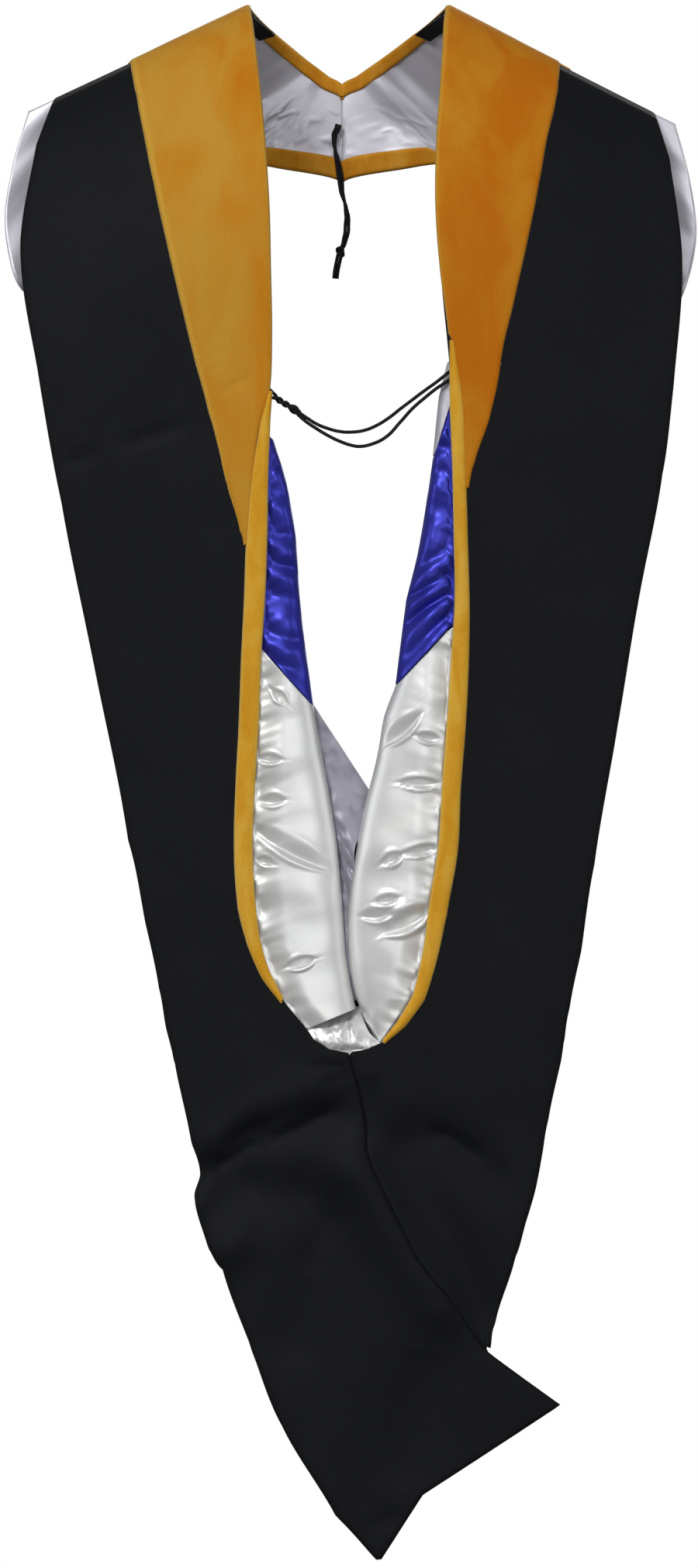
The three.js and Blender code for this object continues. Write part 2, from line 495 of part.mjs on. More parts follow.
// One row of a back panel: near wall, turn at the outer edge, far wall
function panelRow(side, inner, outer, far, gap, lift) {
  const sign = signOf(side);
  const row = [];
  const nearColumns = 7;
  const farColumns = 3;
  const near = { x: outer.x - sign * foldRadius, at: outer.at };
  for (let j = 0; j <= nearColumns; j += 1) {
    const u = j / nearColumns;
    const x = mix(inner.x, near.x, u);
    row.push(backPoint(x, atBetween(inner, near, x, u) - lift * bendShare(u)));
  }
  row.push(backPoint(outer.x, outer.at, -foldRadius));
  const deep = Math.max(gap * bagDepth - 2 * foldRadius, 0);
  for (let j = 0; j <= farColumns; j += 1) {
    const u = j / farColumns;
    const x = mix(near.x, far.x, u);
    const out = -2 * foldRadius - deep * Math.sin(u * Math.PI / 2);
    row.push(backPoint(x, atBetween(near, far, x, u) - lift * bendShare(1 - u), out));
  }
  return row;
}

function backPanel(side) {
  const sign = signOf(side);
  const grid = [];
  const opening = openingRows[side];
  for (let place = 0; place <= opening.length - 1; place += 0.5) {
    const value = (key) => column(opening, key, place);
    grid.push(panelRow(
      side,
      { x: sign * (value('inner') * neckHalf + seamGap), at: value('innerAt') },
      { x: sign * value('outer') * shoulderHalf, at: value('outerAt') },
      { x: sign * value('far') * shoulderHalf, at: value('farAt') },
      value('gap'),
      0,
    ));
  }
  const tail = tailRows[side].map((row, i) => ({ ...seamRows[i], ...row }));
  for (let place = 0.5; place <= tail.length - 1; place += 0.5) {
    const seam = place <= seamRows.length - 1 ? seamRows : tail;
    const value = (key) => column(tail, key, place);
    const middle = {
      x: column(seam, 'seam', place) * shoulderHalf + sign * seamGap,
      at: column(seam, 'seamAt', place),
    };
    grid.push(panelRow(
      side,
      middle,
      { x: value('outer') * shoulderHalf, at: value('outerAt') },
      middle,
      value('gap'),
      value('lift'),
    ));
  }
  addCloth(`back_panel_${side}`, grid, shellThickness, 'black');
}

// Strip of cloth between two edges given in a table, lying on the near wall
function stripGrid(rows, side, width, columns) {
  const sign = signOf(side);
  return rows.map((row) => {
    const inner = row.inner * neckHalf + (row.binding ?? 0) * bindingWidth + seamGap;
    const outer = row.inner * neckHalf + row.width * width - seamGap;
    const points = [];
    for (let j = 0; j <= columns; j += 1) {
      const u = j / columns;
      points.push(backPoint(sign * mix(inner, outer, u), mix(row.innerAt, row.outerAt, u), velvetOut));
    }
    return points;
  });
}

function velvetOnBack(side) {
  const wedge = stripGrid(wedgeRows[side], side, velvetWidth, 4);
  addCloth(`velvet_wedge_${side}`, wedge, velvetThickness, 'gold');
  const binding = stripGrid(bindingRows[side], side, bindingWidth, 2);
  addCloth(`velvet_binding_${side}`, binding, velvetThickness, 'gold');
}

// Satin that comes out from behind the near wall, falls back towards the middle and rolls under
function satinRoll(name, finish) {
  const side = name.endsWith('left') ? 'left' : 'right';
  const sign = signOf(side);
  const rows = satinRows[name];
  const grid = [];
  for (let place = 0; place <= rows.length - 1; place += 0.5) {
    const value = (key) => column(rows, key, place);
    const edge = value('edge') * neckHalf;
    const roll = value('roll') * neckHalf;
    const row = [];
    for (const degrees of [0, 15, 30, 45, 60, 75, 90]) {
      const turn = THREE.MathUtils.degToRad(degrees);
      const u = Math.sin(turn);
      const out = liningOut - lobeDepth * (1 - Math.cos(turn));
      row.push(backPoint(sign * mix(edge, roll, u), mix(value('edgeAt'), value('rollAt'), u), out));
    }
    for (const degrees of [50, 100, 150]) {
      const turn = THREE.MathUtils.degToRad(degrees);
      const x = roll + lobeRoll * (1 - Math.cos(turn));
      row.push(backPoint(sign * x, value('rollAt'), liningOut - lobeDepth - lobeRoll * Math.sin(turn)));
    }
    grid.push(row);
  }
  addCloth(name, grid, satinThickness, finish);
}

function satinPatch(name, rows, outOf, columns) {
  const grid = rows.map((row) => {
    const points = [];
    for (let j = 0; j <= columns; j += 1) {
      const u = j / columns;
      const x = mix(row.from, row.to, u) * neckHalf;
      points.push(backPoint(x, mix(row.fromAt, row.toAt, u), outOf(row, u)));
    }
    return points;
  });
  addCloth(name, grid, satinThickness, 'white');
}

// Middle surface of the front half. along: 0 on the shoulder line, 1 in the middle of the chest.
// across: 0 at the neck edge, 1 at the hem.
function frontSurface(side, along, across) {
  const sign = signOf(side);
  const turn = along * Math.PI / 2;
  const place = along * (hemRows.length - 1);
  const x = sign * column(hemRows, 'x', place) * armReach[side] * shoulderHalf;
  const y = column(hemRows, 'y', place) * frontDepth;
  const z = shoulderLine(x) - column(hemRows, 'below', place) * hemFall;
  const neck = new THREE.Vector3(
    sign * neckHalf * Math.cos(turn),
    frontDepth * Math.sin(turn),
    -neckDrop * (1 - Math.cos(turn)),
  );
  const puff = shoulderPuff * 4 * across * (1 - across) * Math.sin(Math.PI * Math.min(along / puffLength, 1));
  const point = neck.lerp(new THREE.Vector3(x, y, z), across);
  point.x += sign * puffDirection.x * puff - frontShift * along;
  point.y += puffDirection.y * puff;
  point.z += puffDirection.z * puff;
  return point;
}

function frontPoint(side, along, across, out) {
  const step = 0.01;
  const point = frontSurface(side, along, across);
  const a = frontSurface(side, Math.min(along + step, 1), across)
    .sub(frontSurface(side, Math.max(along - step, 0), across));
  const b = frontSurface(side, along, across + step).sub(frontSurface(side, along, across - step));
  const normal = a.cross(b).normalize().multiplyScalar(-signOf(side));
  return point.addScaledVector(normal, out);
}

// Length of the front half between its two edges, so that widths in mm become shares of it
function frontWidth(side, along) {
  return frontSurface(side, along, 0).distanceTo(frontSurface(side, along, 1));
}

// Layer of the front half on rows and columns that every layer shares. places: its columns in a row.
function frontGrid(side, from, to, out, places) {
  const grid = [];
  for (let i = Math.floor(from * frontRows); i <= Math.ceil(to * frontRows); i += 1) {
    const along = THREE.MathUtils.clamp(i / frontRows, from, to);
    grid.push(places(along).map((across) => {
      const point = frontPoint(side, along, across, out);
      point.x += signOf(side) * (seamGap - Math.min(out, 0) * centreLean) * along;
      point.y += shoulderGap * (1 - along);
      return point;
    }));
  }
  return grid;
}

// Shared columns from one place to another
function frontColumns(from, to) {
  const places = [from];
  for (let j = 1; j < frontSteps; j += 1) places.push(j / frontSteps);
  return [...places, to];
}

function frontHalf(side) {
  const share = (along, width) => width / frontWidth(side, along);
  const shell = frontGrid(side, 0, 1, 0, () => frontColumns(0, shellEnd));
  addCloth(`front_panel_${side}`, shell, shellThickness, 'black');
  const lining = frontGrid(side, 0, 1, liningOut, (along) => frontColumns(share(along, liningInset), 1));
  addCloth(`front_lining_${side}`, lining, satinThickness, 'white');
  const facing = frontGrid(side, 0, 1, velvetOut, (along) => {
    const end = mix(facingEnd, 1, THREE.MathUtils.smoothstep(along, 0, facingFull));
    return frontColumns(0, 1).map((place) => (place <= 0.5 ? place : mix(0.5, end, 2 * place - 1)));
  });
  addCloth(`neckband_velvet_${side}`, facing, velvetThickness, 'gold');
  const top = frontGrid(side, stripStart, 1, turnedOut, (along) => [0, share(along, topStrip)]);
  addCloth(`neckband_top_${side}`, top, velvetThickness, 'gold');
  const hem = frontGrid(side, hemStart, 1, turnedOut, (along) => [1 - share(along, hemStrip), 1]);
  addCloth(`neckband_hem_${side}`, hem, velvetThickness, 'gold');
  const behind = turnedOut - clearance;
  const corner = frontGrid(side, cornerStart, cornerEnd, behind, (along) => [0, share(along, cornerWidth)]);
  addCloth(`neck_corner_${side}`, corner, shellThickness, 'black');
}

// Cord of round section along a route
function cordGeometry(points, steps) {
  const section = new THREE.Shape();
  const sides = 8;
  for (let k = 0; k < sides; k += 1) {
    const angle = 2 * Math.PI * k / sides;
    const x = cordDiameter / 2 * Math.cos(angle);
    const y = cordDiameter / 2 * Math.sin(angle);
    if (k === 0) section.moveTo(x, y);
    else section.lineTo(x, y);
  }
  section.closePath();
  const extrudePath = new THREE.CatmullRomCurve3(points, false, 'centripetal');
  return new THREE.ExtrudeGeometry(section, { steps, extrudePath, bevelEnabled: false });
}

function solidOf(geometry) {
  geometry.deleteAttribute('normal');
  geometry.deleteAttribute('uv');
  const merged = mergeVertices(geometry, 1e-4);
  return new wasm.Manifold(new wasm.Mesh({
    numProp: 3,
    vertProperties: new Float32Array(merged.attributes.position.array),
    triVerts: new Uint32Array(merged.index.array),
  }));
}

function geometryOf(solid) {
  const mesh = solid.getMesh();
  const geometry = new THREE.BufferGeometry();
  geometry.setAttribute('position', new THREE.BufferAttribute(mesh.vertProperties, 3));
  geometry.setIndex(new THREE.BufferAttribute(mesh.triVerts, 1));
  return geometry;
}

function knotGeometry(centre, tilt) {
  const knot = new THREE.SphereGeometry(knotWidth / 2, 10, 6);
  knot.scale(knotLength / knotWidth, 1, 1);
  knot.rotateY(tilt);
  return knot.translate(centre.x, centre.y, centre.z);
}

const atBack = ([x, out, z]) => backPoint(x, (shoulderLine(x) - z) / hoodLength, out);

// Line of points shifted sideways in the plane of the picture by a distance
function besides(points, distance) {
  return points.map((point, i) => {
    const run = points[Math.min(i + 1, points.length - 1)].clone().sub(points[Math.max(i - 1, 0)]);
    return point.clone().addScaledVector(new THREE.Vector3(-run.z, 0, run.x).normalize(), distance);
  });
}

// Cord that ties the two edges of the opening together behind the neck
function crossCord() {
  const centre = atBack(crossKnot);
  for (const [name, route] of Object.entries(crossCordRoutes)) {
    const points = route.map(atBack);
    addMesh(name, cordGeometry(points, crossSteps), 'cord');
  }
  const wall = backPoint(crossButton.x * neckHalf, crossButton.at, -shellThickness / 2 - clearance);
  const ring = shankDiameter / 2 + cordDiameter / 2 + clearance;
  const strands = crossLoop.map(atBack);
  const last = strands[strands.length - 1];
  const aim = Math.atan2(last.z - wall.z, last.x - wall.x);
  const turns = ringDegrees.map((degrees) => {
    const angle = THREE.MathUtils.degToRad(degrees) + aim;
    const x = wall.x + ring * Math.cos(angle);
    return new THREE.Vector3(x, wall.y + shankLength / 2, wall.z + ring * Math.sin(angle));
  });
  const over = besides(strands, -strandPitch / 2);
  const under = besides(strands, strandPitch / 2);
  const loop = cordGeometry([...over, ...turns, ...under.reverse()], loopSteps);
  const knot = solidOf(knotGeometry(centre, THREE.MathUtils.degToRad(knotTilt)));
  addMesh('cross_cord_knot', geometryOf(solidOf(loop).add(knot)), 'cord');
  const shank = new THREE.CylinderGeometry(shankDiameter / 2, shankDiameter / 2, shankLength + shankSink, 12);
  shank.translate(0, (shankLength + shankSink) / 2, 0);
  const disc = new THREE.CylinderGeometry(buttonDiameter / 2, buttonDiameter / 2, buttonThickness, 20);
  disc.translate(0, shankLength + buttonThickness / 2, 0);
  const button = geometryOf(solidOf(shank).add(solidOf(disc)));
  button.translate(wall.x, wall.y, wall.z);
  addMesh('cord_button', button, 'cord');
}

// Loop of cord that hangs from the middle of the neckband, with its knot and its two short ends
function frontCord() {
  const y = frontDepth + turnedOut - velvetThickness / 2 - clearance - cordDiameter / 2 - seamGap;
  const toPoint = ([x, z]) => new THREE.Vector3(x, y, z);
  const shifts = { left: strandPitch / 2, right: -strandPitch / 2 };
  const route = frontCordRoute.map(toPoint);
  const tail = frontCordTail.map(toPoint);
  let knot = solidOf(knotGeometry(tail[0], THREE.MathUtils.degToRad(frontKnotTilt)));
  for (const [side, shift] of Object.entries(shifts)) {
    addMesh(`front_cord_${side}`, cordGeometry(besides(route, shift), frontCordSteps), 'cord');
    knot = knot.add(solidOf(cordGeometry(besides(tail, shift), tailSteps)));
  }
  addMesh('front_cord_knot', geometryOf(knot), 'cord');
}

for (const side of ['left', 'right']) {
  backPanel(side);
  velvetOnBack(side);
  frontHalf(side);
  satinRoll(`lining_blue_${side}`, 'blue');
  satinRoll(`lining_white_${side}`, 'white');
}
satinRoll('lining_upper_right', 'white');
satinPatch('lining_centre', centreRows, () => centreOut, 4);
satinPatch('lining_tuck', tuckRows, (row, u) => -mix(row.fromOut, row.toOut, u) * bagDepth, 5);
crossCord();
frontCord();

export default hood;
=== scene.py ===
import math

import bmesh
import bpy
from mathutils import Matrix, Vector, noise


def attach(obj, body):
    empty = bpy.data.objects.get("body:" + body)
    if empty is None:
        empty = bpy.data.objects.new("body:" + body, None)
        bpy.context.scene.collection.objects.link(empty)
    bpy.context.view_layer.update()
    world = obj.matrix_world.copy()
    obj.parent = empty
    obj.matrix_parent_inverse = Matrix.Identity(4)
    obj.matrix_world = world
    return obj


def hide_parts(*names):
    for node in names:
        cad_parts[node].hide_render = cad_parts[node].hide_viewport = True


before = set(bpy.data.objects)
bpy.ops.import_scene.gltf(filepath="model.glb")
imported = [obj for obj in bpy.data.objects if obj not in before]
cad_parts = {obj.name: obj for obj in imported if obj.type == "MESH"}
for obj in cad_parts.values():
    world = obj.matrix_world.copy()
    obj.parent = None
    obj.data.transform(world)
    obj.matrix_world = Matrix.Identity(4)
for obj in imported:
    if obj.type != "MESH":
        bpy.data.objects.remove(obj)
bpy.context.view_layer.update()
print("frame loaded with", len(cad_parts), "nodes")

# Camera and light

studio = {
    "cameraPlace": (0.0005, -8.092, -0.5398),   # eye level with the middle of the hood, 8 m away
    "lens": 267.09,                             # the height of the hood fills the picture
    "sensor": 36.0,
    "viewEnd": 200,
    "floorHeight": -1.45,                       # neck of a wearer is about that far above the floor
    "floorRadius": 3.5,
    "domeRadius": 26.0,
    "ambient": 0.17,
    "paper": 1.0,                               # brightness of the backdrop
    "floorPaint": "#f4f4f2",
    "floorRoughness": 0.7,
    "softboxes": (
        # name, place, aimed at, size, watts
        ("key_light", (-1.8, -4.6, 2.6), (0.0, 0.0, -0.55), 1.5, 142),
        ("fill_light", (2.6, -5.4, 0.2), (0.0, 0.0, -0.6), 2.2, 44),
        ("top_light", (0.0, -2.4, 2.6), (0.0, 0.0, -0.4), 1.4, 20),
        ("camera_light", (0.2, -7.4, 0.1), (0.0, 0.0, -0.55), 4.4, 50),
        ("left_light", (-5.0, -1.6, 0.2), (0.0, 0.0, -0.4), 2.4, 40),
        ("right_light", (5.0, -1.6, 0.2), (0.0, 0.0, -0.4), 2.4, 28),
        ("front_light", (0.6, 5.4, 0.5), (0.0, 0.0, -0.45), 3.2, 110),
    ),
}


# An object in the scene around a camera, light, mesh or curve
def placeObject(name, data):
    holder = bpy.data.objects.new(name, data)
    bpy.context.scene.collection.objects.link(holder)
    return holder


def addCamera():
    camera = bpy.data.cameras.new("photo_camera")
    camera.lens = studio["lens"]
    camera.sensor_width = studio["sensor"]
    camera.clip_end = studio["viewEnd"]
    holder = placeObject("photo_camera", camera)
    holder.location = studio["cameraPlace"]
    holder.rotation_euler = (math.radians(90), 0, 0)
    bpy.context.scene.camera = holder


def addSoftbox(name, place, target, size, watts):
    light = bpy.data.lights.new(name, "AREA")
    light.shape = "SQUARE"
    light.size = size
    light.energy = watts
    holder = placeObject(name, light)
    holder.location = place
    holder.rotation_euler = (Vector(target) - Vector(place)).to_track_quat("-Z", "Y").to_euler()


def hexColour(text):
    channels = [int(text[i:i + 2], 16) / 255 for i in (1, 3, 5)]
    linear = [c / 12.92 if c <= 0.04045 else ((c + 0.055) / 1.055) ** 2.4 for c in channels]
    return (*linear, 1.0)


# Adds a node. settings are its own properties, links are its sockets: a value, or another socket to join to.
def addNode(tree, kind, settings=None, links=None):
    node = tree.nodes.new("ShaderNode" + kind)
    for name, value in (settings or {}).items():
        setattr(node, name, value)
    for socket, value in (links or {}).items():
        if isinstance(value, bpy.types.NodeSocket):
            tree.links.new(value, node.inputs[socket])
        else:
            node.inputs[socket].default_value = value
    return node


def newMaterial(name):
    material = bpy.data.materials.new(name)
    material.use_nodes = True
    material.node_tree.nodes.clear()
    return material, material.node_tree


def addStage():
    world = bpy.data.worlds.new("studio_air")
    world.use_nodes = True
    background = world.node_tree.nodes["Background"]
    background.inputs["Color"].default_value = (1, 1, 1, 1)
    background.inputs["Strength"].default_value = studio["ambient"]
    bpy.context.scene.world = world
    bpy.context.scene.view_settings.view_transform = "Standard"

    white, tree = newMaterial("white_paper_backdrop")
    glow = addNode(tree, "Emission", links={"Color": (1, 1, 1, 1), "Strength": studio["paper"]})
    addNode(tree, "OutputMaterial", links={"Surface": glow.outputs[0]})
    pale, tree = newMaterial("pale_painted_floor")
    paint = addNode(tree, "BsdfPrincipled", links={"Base Color": hexColour(studio["floorPaint"]),
                                                   "Roughness": studio["floorRoughness"]})
    addNode(tree, "OutputMaterial", links={"Surface": paint.outputs[0]})

    bm = bmesh.new()
    bmesh.ops.create_uvsphere(bm, u_segments=48, v_segments=24, radius=studio["domeRadius"])
    dome = addObject("white_backdrop", bm, white)
    hideFrom(dome, ("diffuse", "glossy", "transmission", "shadow"))   # it only fills the background
    bm = bmesh.new()
    bmesh.ops.create_circle(bm, cap_ends=True, segments=96, radius=studio["floorRadius"])
    bmesh.ops.translate(bm, verts=bm.verts, vec=(0, 0, studio["floorHeight"]))
    floor = addObject("studio_floor", bm, pale)
    hideFrom(floor, ("diffuse", "glossy"))


def hideFrom(piece, rays):
    for ray in rays:
        setattr(piece, "visible_" + ray, False)


def addObject(name, bm, material):
    mesh = bpy.data.meshes.new(name)
    for face in bm.faces:
        face.smooth = True
    bm.to_mesh(mesh)
    bm.free()
    mesh.materials.append(material)
    return placeObject(name, mesh)


addCamera()
addStage()
for box in studio["softboxes"]:
    addSoftbox(*box)
print("camera, lights and stage ready")

# Materials

bandScale = math.pi / 10        # scale at which the bands of a wave texture are a metre apart
clothLook = {
    "thread": 0.0011,           # about four times too coarse, so that it shows in a close view
    "mottle": 0.05,
    "shade": "#0c0d10",
    "light": "#151619",
    "roughness": (0.62, 0.78),
    "specular": 0.12,
    "haze": 0.012,              # sheen of the loose fibres
    "hazeSpread": 0.4,
    "bump": 0.00006,
}
# deep, middle, frost: colour of the pile from standing up to brushed flat. leaning: how much more it is
# brushed towards the left. patch: size of the brushed places. width, rim: of the strip and its pale edges;
# edge: their colour, a painted highlight where the rolled edges catch the light; a width of 1.0 leaves the
# second edge out.
velvetLooks = {
    "edge": {"deep": "#b9690a", "middle": "#bd7d1b", "frost": "#bd8c30", "leaning": 1.4, "patch": 0.038,
             "width": 0.0655, "rim": 0.0024, "edge": "#c79a3c"},
    "neckband": {"deep": "#b9690a", "middle": "#bd7d1b", "frost": "#bd8c30", "leaning": 0.0, "patch": 0.045,
                 "width": 1.0, "rim": 0.0024, "edge": "#c79a3c"},
    # the binding's pile colours are paler than the wedge's: painted highlight for the lighter shading of the
    # crowned, rolled binding
    "binding": {"deep": "#c98a18", "middle": "#d39d2c", "frost": "#dcb04a", "leaning": 0.0, "patch": 0.016,
                "width": 0.0147, "rim": 0.0022, "edge": "#dfb95a"},
    "strip": {"deep": "#c47a18", "middle": "#cf8b24", "frost": "#d89c38", "leaning": 0.0, "patch": 0.012,
              "width": 1.0, "rim": 0.0012, "edge": "#dda848"},
}
pileLook = {
    "length": 0.0012,
    "patchStretch": 0.42,       # brushed places are longer up and down than across
    "standing": 0.26,           # share of brushing up to which the pile has its deep colour
    "flat": 0.76,
    "tuft": (0.86, 1.10),       # brightness between and on the tufts
    # how much of the painted highlight colour the very edges take
    "rimShare": 0.8,
    "roughness": 0.85,
    "specular": 0.1,
    "sheen": 0.45,
    "sheenSpread": 0.3,
    "sheenTint": "#e8cf94",
    "bump": 0.0003,
}
satinLook = {"thread": 0.0009, "cloud": 0.041667, "specular": 0.5, "smoother": 0.03, "rougher": 0.05,
             "bump": 0.00002}
cordLook = {"strand": 0.0011, "dark": "#060607", "pale": "#151518", "roughness": 0.62, "specular": 0.25,
            "haze": 0.03, "bump": 0.0003}
buttonLook = {"wear": 0.0025, "dark": "#08080a", "pale": "#131316", "roughness": (0.22, 0.42), "ior": 1.54}


# Black polyester in plain weave: matt, with a faint haze of fibres and weave lines
def wovenPolyester():
    look = clothLook
    material, tree = newMaterial("woven_black_polyester")
    place = addNode(tree, "TexCoord")
    threads = {"Vector": place.outputs["UV"], "Scale": bandScale / look["thread"],
               "Distortion": 0.6, "Detail": 1.0}
    warp = addNode(tree, "TexWave", {"bands_direction": "X"}, threads)
    weft = addNode(tree, "TexWave", {"bands_direction": "Y"}, threads)
    weave = addNode(tree, "Math", {"operation": "MULTIPLY"},
                    {0: warp.outputs["Fac"], 1: weft.outputs["Fac"]})
    cloud = addNode(tree, "TexNoise", None,
                    {"Vector": place.outputs["Object"], "Scale": 1 / look["mottle"], "Detail": 4.0})
    tone = addNode(tree, "Mix", {"data_type": "RGBA"},
                   {"Factor": cloud.outputs["Fac"], 6: hexColour(look["shade"]), 7: hexColour(look["light"])})
    rough = addNode(tree, "MapRange", None,
                    {"Value": weave.outputs[0], "To Min": look["roughness"][0],
                     "To Max": look["roughness"][1]})
    bump = addNode(tree, "Bump", None,
                   {"Height": weave.outputs[0], "Distance": look["bump"], "Strength": 0.5})
    shader = addNode(tree, "BsdfPrincipled", None,
                     {"Base Color": tone.outputs[2], "Roughness": rough.outputs[0],
                      "Specular IOR Level": look["specular"], "Sheen Weight": look["haze"],
                      "Sheen Roughness": look["hazeSpread"], "Normal": bump.outputs[0]})
    addNode(tree, "OutputMaterial", links={"Surface": shader.outputs[0]})
    return material


# Gold cotton velvet with a short pile: frosted where the pile is brushed, deep where it stands up
def shortPileVelvet(kind):
    look = velvetLooks[kind]
    material, tree = newMaterial("short_pile_gold_velvet_" + kind)
    place = addNode(tree, "TexCoord")
    stretch = addNode(tree, "Mapping", None,
                      {"Vector": place.outputs["Object"], "Scale": (1.0, 1.0, pileLook["patchStretch"])})
    patch = addNode(tree, "TexNoise", None,
                    {"Vector": stretch.outputs[0], "Scale": 1 / look["patch"], "Detail": 3.0,
                     "Roughness": 0.55, "Distortion": 0.6})
    axes = addNode(tree, "SeparateXYZ", None, {"Vector": place.outputs["Object"]})
    brushed = addNode(tree, "Math", {"operation": "MULTIPLY_ADD"},
                      {0: axes.outputs["X"], 1: -look["leaning"], 2: patch.outputs["Fac"]})
    tone = addNode(tree, "ValToRGB", None, {"Fac": brushed.outputs[0]})
    ramp = tone.color_ramp
    ramp.elements[0].position = pileLook["standing"]
    ramp.elements[0].color = hexColour(look["deep"])
    ramp.elements[1].position = pileLook["flat"]
    ramp.elements[1].color = hexColour(look["frost"])
    ramp.elements.new(0.5).color = hexColour(look["middle"])
    pile = addNode(tree, "TexNoise", None,
                   {"Vector": place.outputs["Object"], "Scale": 1 / pileLook["length"], "Detail": 2.0})
    tuft = addNode(tree, "MapRange", None,
                   {"Value": pile.outputs["Fac"], "To Min": pileLook["tuft"][0],
                    "To Max": pileLook["tuft"][1]})
    # pale edges across the strip: painted highlight of the rolled edges
    acrossStrip = addNode(tree, "SeparateXYZ", None, {"Vector": place.outputs["UV"]})
    near = addNode(tree, "MapRange", {"interpolation_type": "SMOOTHSTEP"},
                   {"Value": acrossStrip.outputs["X"], "From Max": look["rim"],
                    "To Min": pileLook["rimShare"], "To Max": 0.0})
    far = addNode(tree, "MapRange", {"interpolation_type": "SMOOTHSTEP"},
                  {"Value": acrossStrip.outputs["X"], "From Min": look["width"] - look["rim"],
                   "From Max": look["width"], "To Max": pileLook["rimShare"]})
    rim = addNode(tree, "Math", {"operation": "MAXIMUM"}, {0: near.outputs[0], 1: far.outputs[0]})
    highlightRimmed = addNode(tree, "Mix", {"data_type": "RGBA"},
                     {"Factor": rim.outputs[0], 6: tone.outputs["Color"], 7: hexColour(look["edge"])})
    colour = addNode(tree, "VectorMath", {"operation": "SCALE"},
                     {0: highlightRimmed.outputs[2], "Scale": tuft.outputs[0]})
    bump = addNode(tree, "Bump", None,
                   {"Height": pile.outputs["Fac"], "Distance": pileLook["bump"], "Strength": 0.5})
    shader = addNode(tree, "BsdfPrincipled", None,
                     {"Base Color": colour.outputs[0], "Roughness": pileLook["roughness"],
                      "Specular IOR Level": pileLook["specular"], "Sheen Weight": pileLook["sheen"],
                      "Sheen Roughness": pileLook["sheenSpread"],
                      "Sheen Tint": hexColour(pileLook["sheenTint"]), "Normal": bump.outputs[0]})
    addNode(tree, "OutputMaterial", links={"Surface": shader.outputs[0]})
    return material


# Polyester satin: long floats of thread give a smooth, silky gloss with faint lines along them
def polyesterSatin(name, colour, shade, gloss, roughness):
    look = satinLook
    material, tree = newMaterial(name)
    place = addNode(tree, "TexCoord")
    floats = addNode(tree, "TexWave", {"bands_direction": "X"},
                     {"Vector": place.outputs["UV"], "Scale": bandScale / look["thread"],
                      "Distortion": 1.2, "Detail": 2.0})
    cloud = addNode(tree, "TexNoise", None,
                    {"Vector": place.outputs["Object"], "Scale": 1 / look["cloud"], "Detail": 3.0})
    tone = addNode(tree, "Mix", {"data_type": "RGBA"},
                   {"Factor": cloud.outputs["Fac"], 6: hexColour(shade), 7: hexColour(colour)})
    rough = addNode(tree, "MapRange", None,
                    {"Value": floats.outputs["Fac"], "To Min": roughness - look["smoother"],
                     "To Max": roughness + look["rougher"]})
    bump = addNode(tree, "Bump", None,
                   {"Height": floats.outputs["Fac"], "Distance": look["bump"], "Strength": 0.4})
    shader = addNode(tree, "BsdfPrincipled", None,
                     {"Base Color": tone.outputs[2], "Roughness": rough.outputs[0], "Metallic": gloss,
                      "Specular IOR Level": look["specular"], "Normal": bump.outputs[0]})
    addNode(tree, "OutputMaterial", links={"Surface": shader.outputs[0]})
    return material


# Braided polyester cord: two sets of slanting strands that cross
def braidedCord():
    look = cordLook
    material, tree = newMaterial("braided_black_cord")
    place = addNode(tree, "TexCoord")
    turned = addNode(tree, "Mapping", None,
                     {"Vector": place.outputs["Object"], "Rotation": (0.0, math.radians(90), 0.0)})
    waves = []
    for axis in (place.outputs["Object"], turned.outputs[0]):
        waves.append(addNode(tree, "TexWave", {"bands_direction": "DIAGONAL"},
                             {"Vector": axis, "Scale": bandScale / look["strand"], "Distortion": 0.4}))
    braid = addNode(tree, "Math", {"operation": "MULTIPLY"},
                    {0: waves[0].outputs["Fac"], 1: waves[1].outputs["Fac"]})
    tone = addNode(tree, "Mix", {"data_type": "RGBA"},
                   {"Factor": braid.outputs[0], 6: hexColour(look["dark"]), 7: hexColour(look["pale"])})
    bump = addNode(tree, "Bump", None,
                   {"Height": braid.outputs[0], "Distance": look["bump"], "Strength": 0.8})
    shader = addNode(tree, "BsdfPrincipled", None,
                     {"Base Color": tone.outputs[2], "Roughness": look["roughness"],
                      "Specular IOR Level": look["specular"], "Sheen Weight": look["haze"],
                      "Normal": bump.outputs[0]})
    addNode(tree, "OutputMaterial", links={"Surface": shader.outputs[0]})
    return material


# Moulded polyester button: hard and black, slightly dulled by handling
def mouldedPolyester():
    look = buttonLook
    material, tree = newMaterial("moulded_black_polyester")
    place = addNode(tree, "TexCoord")
    wear = addNode(tree, "TexNoise", None,
                   {"Vector": place.outputs["Object"], "Scale": 1 / look["wear"], "Detail": 4.0})
    rough = addNode(tree, "MapRange", None,
                    {"Value": wear.outputs["Fac"], "To Min": look["roughness"][0],
                     "To Max": look["roughness"][1]})
    tone = addNode(tree, "Mix", {"data_type": "RGBA"},
                   {"Factor": wear.outputs["Fac"], 6: hexColour(look["dark"]), 7: hexColour(look["pale"])})
    shader = addNode(tree, "BsdfPrincipled", None,
                     {"Base Color": tone.outputs[2], "Roughness": rough.outputs[0], "IOR": look["ior"]})
    addNode(tree, "OutputMaterial", links={"Surface": shader.outputs[0]})
    return material


blackCloth = wovenPolyester()
goldVelvet = shortPileVelvet("edge")
goldBindingPaintedHighlight = shortPileVelvet("binding")
goldNeckband = shortPileVelvet("neckband")
goldStrip = shortPileVelvet("strip")
whiteSatin = polyesterSatin("polyester_satin_white", "#e6e7e4", "#dcddde", 0.52, 0.40)
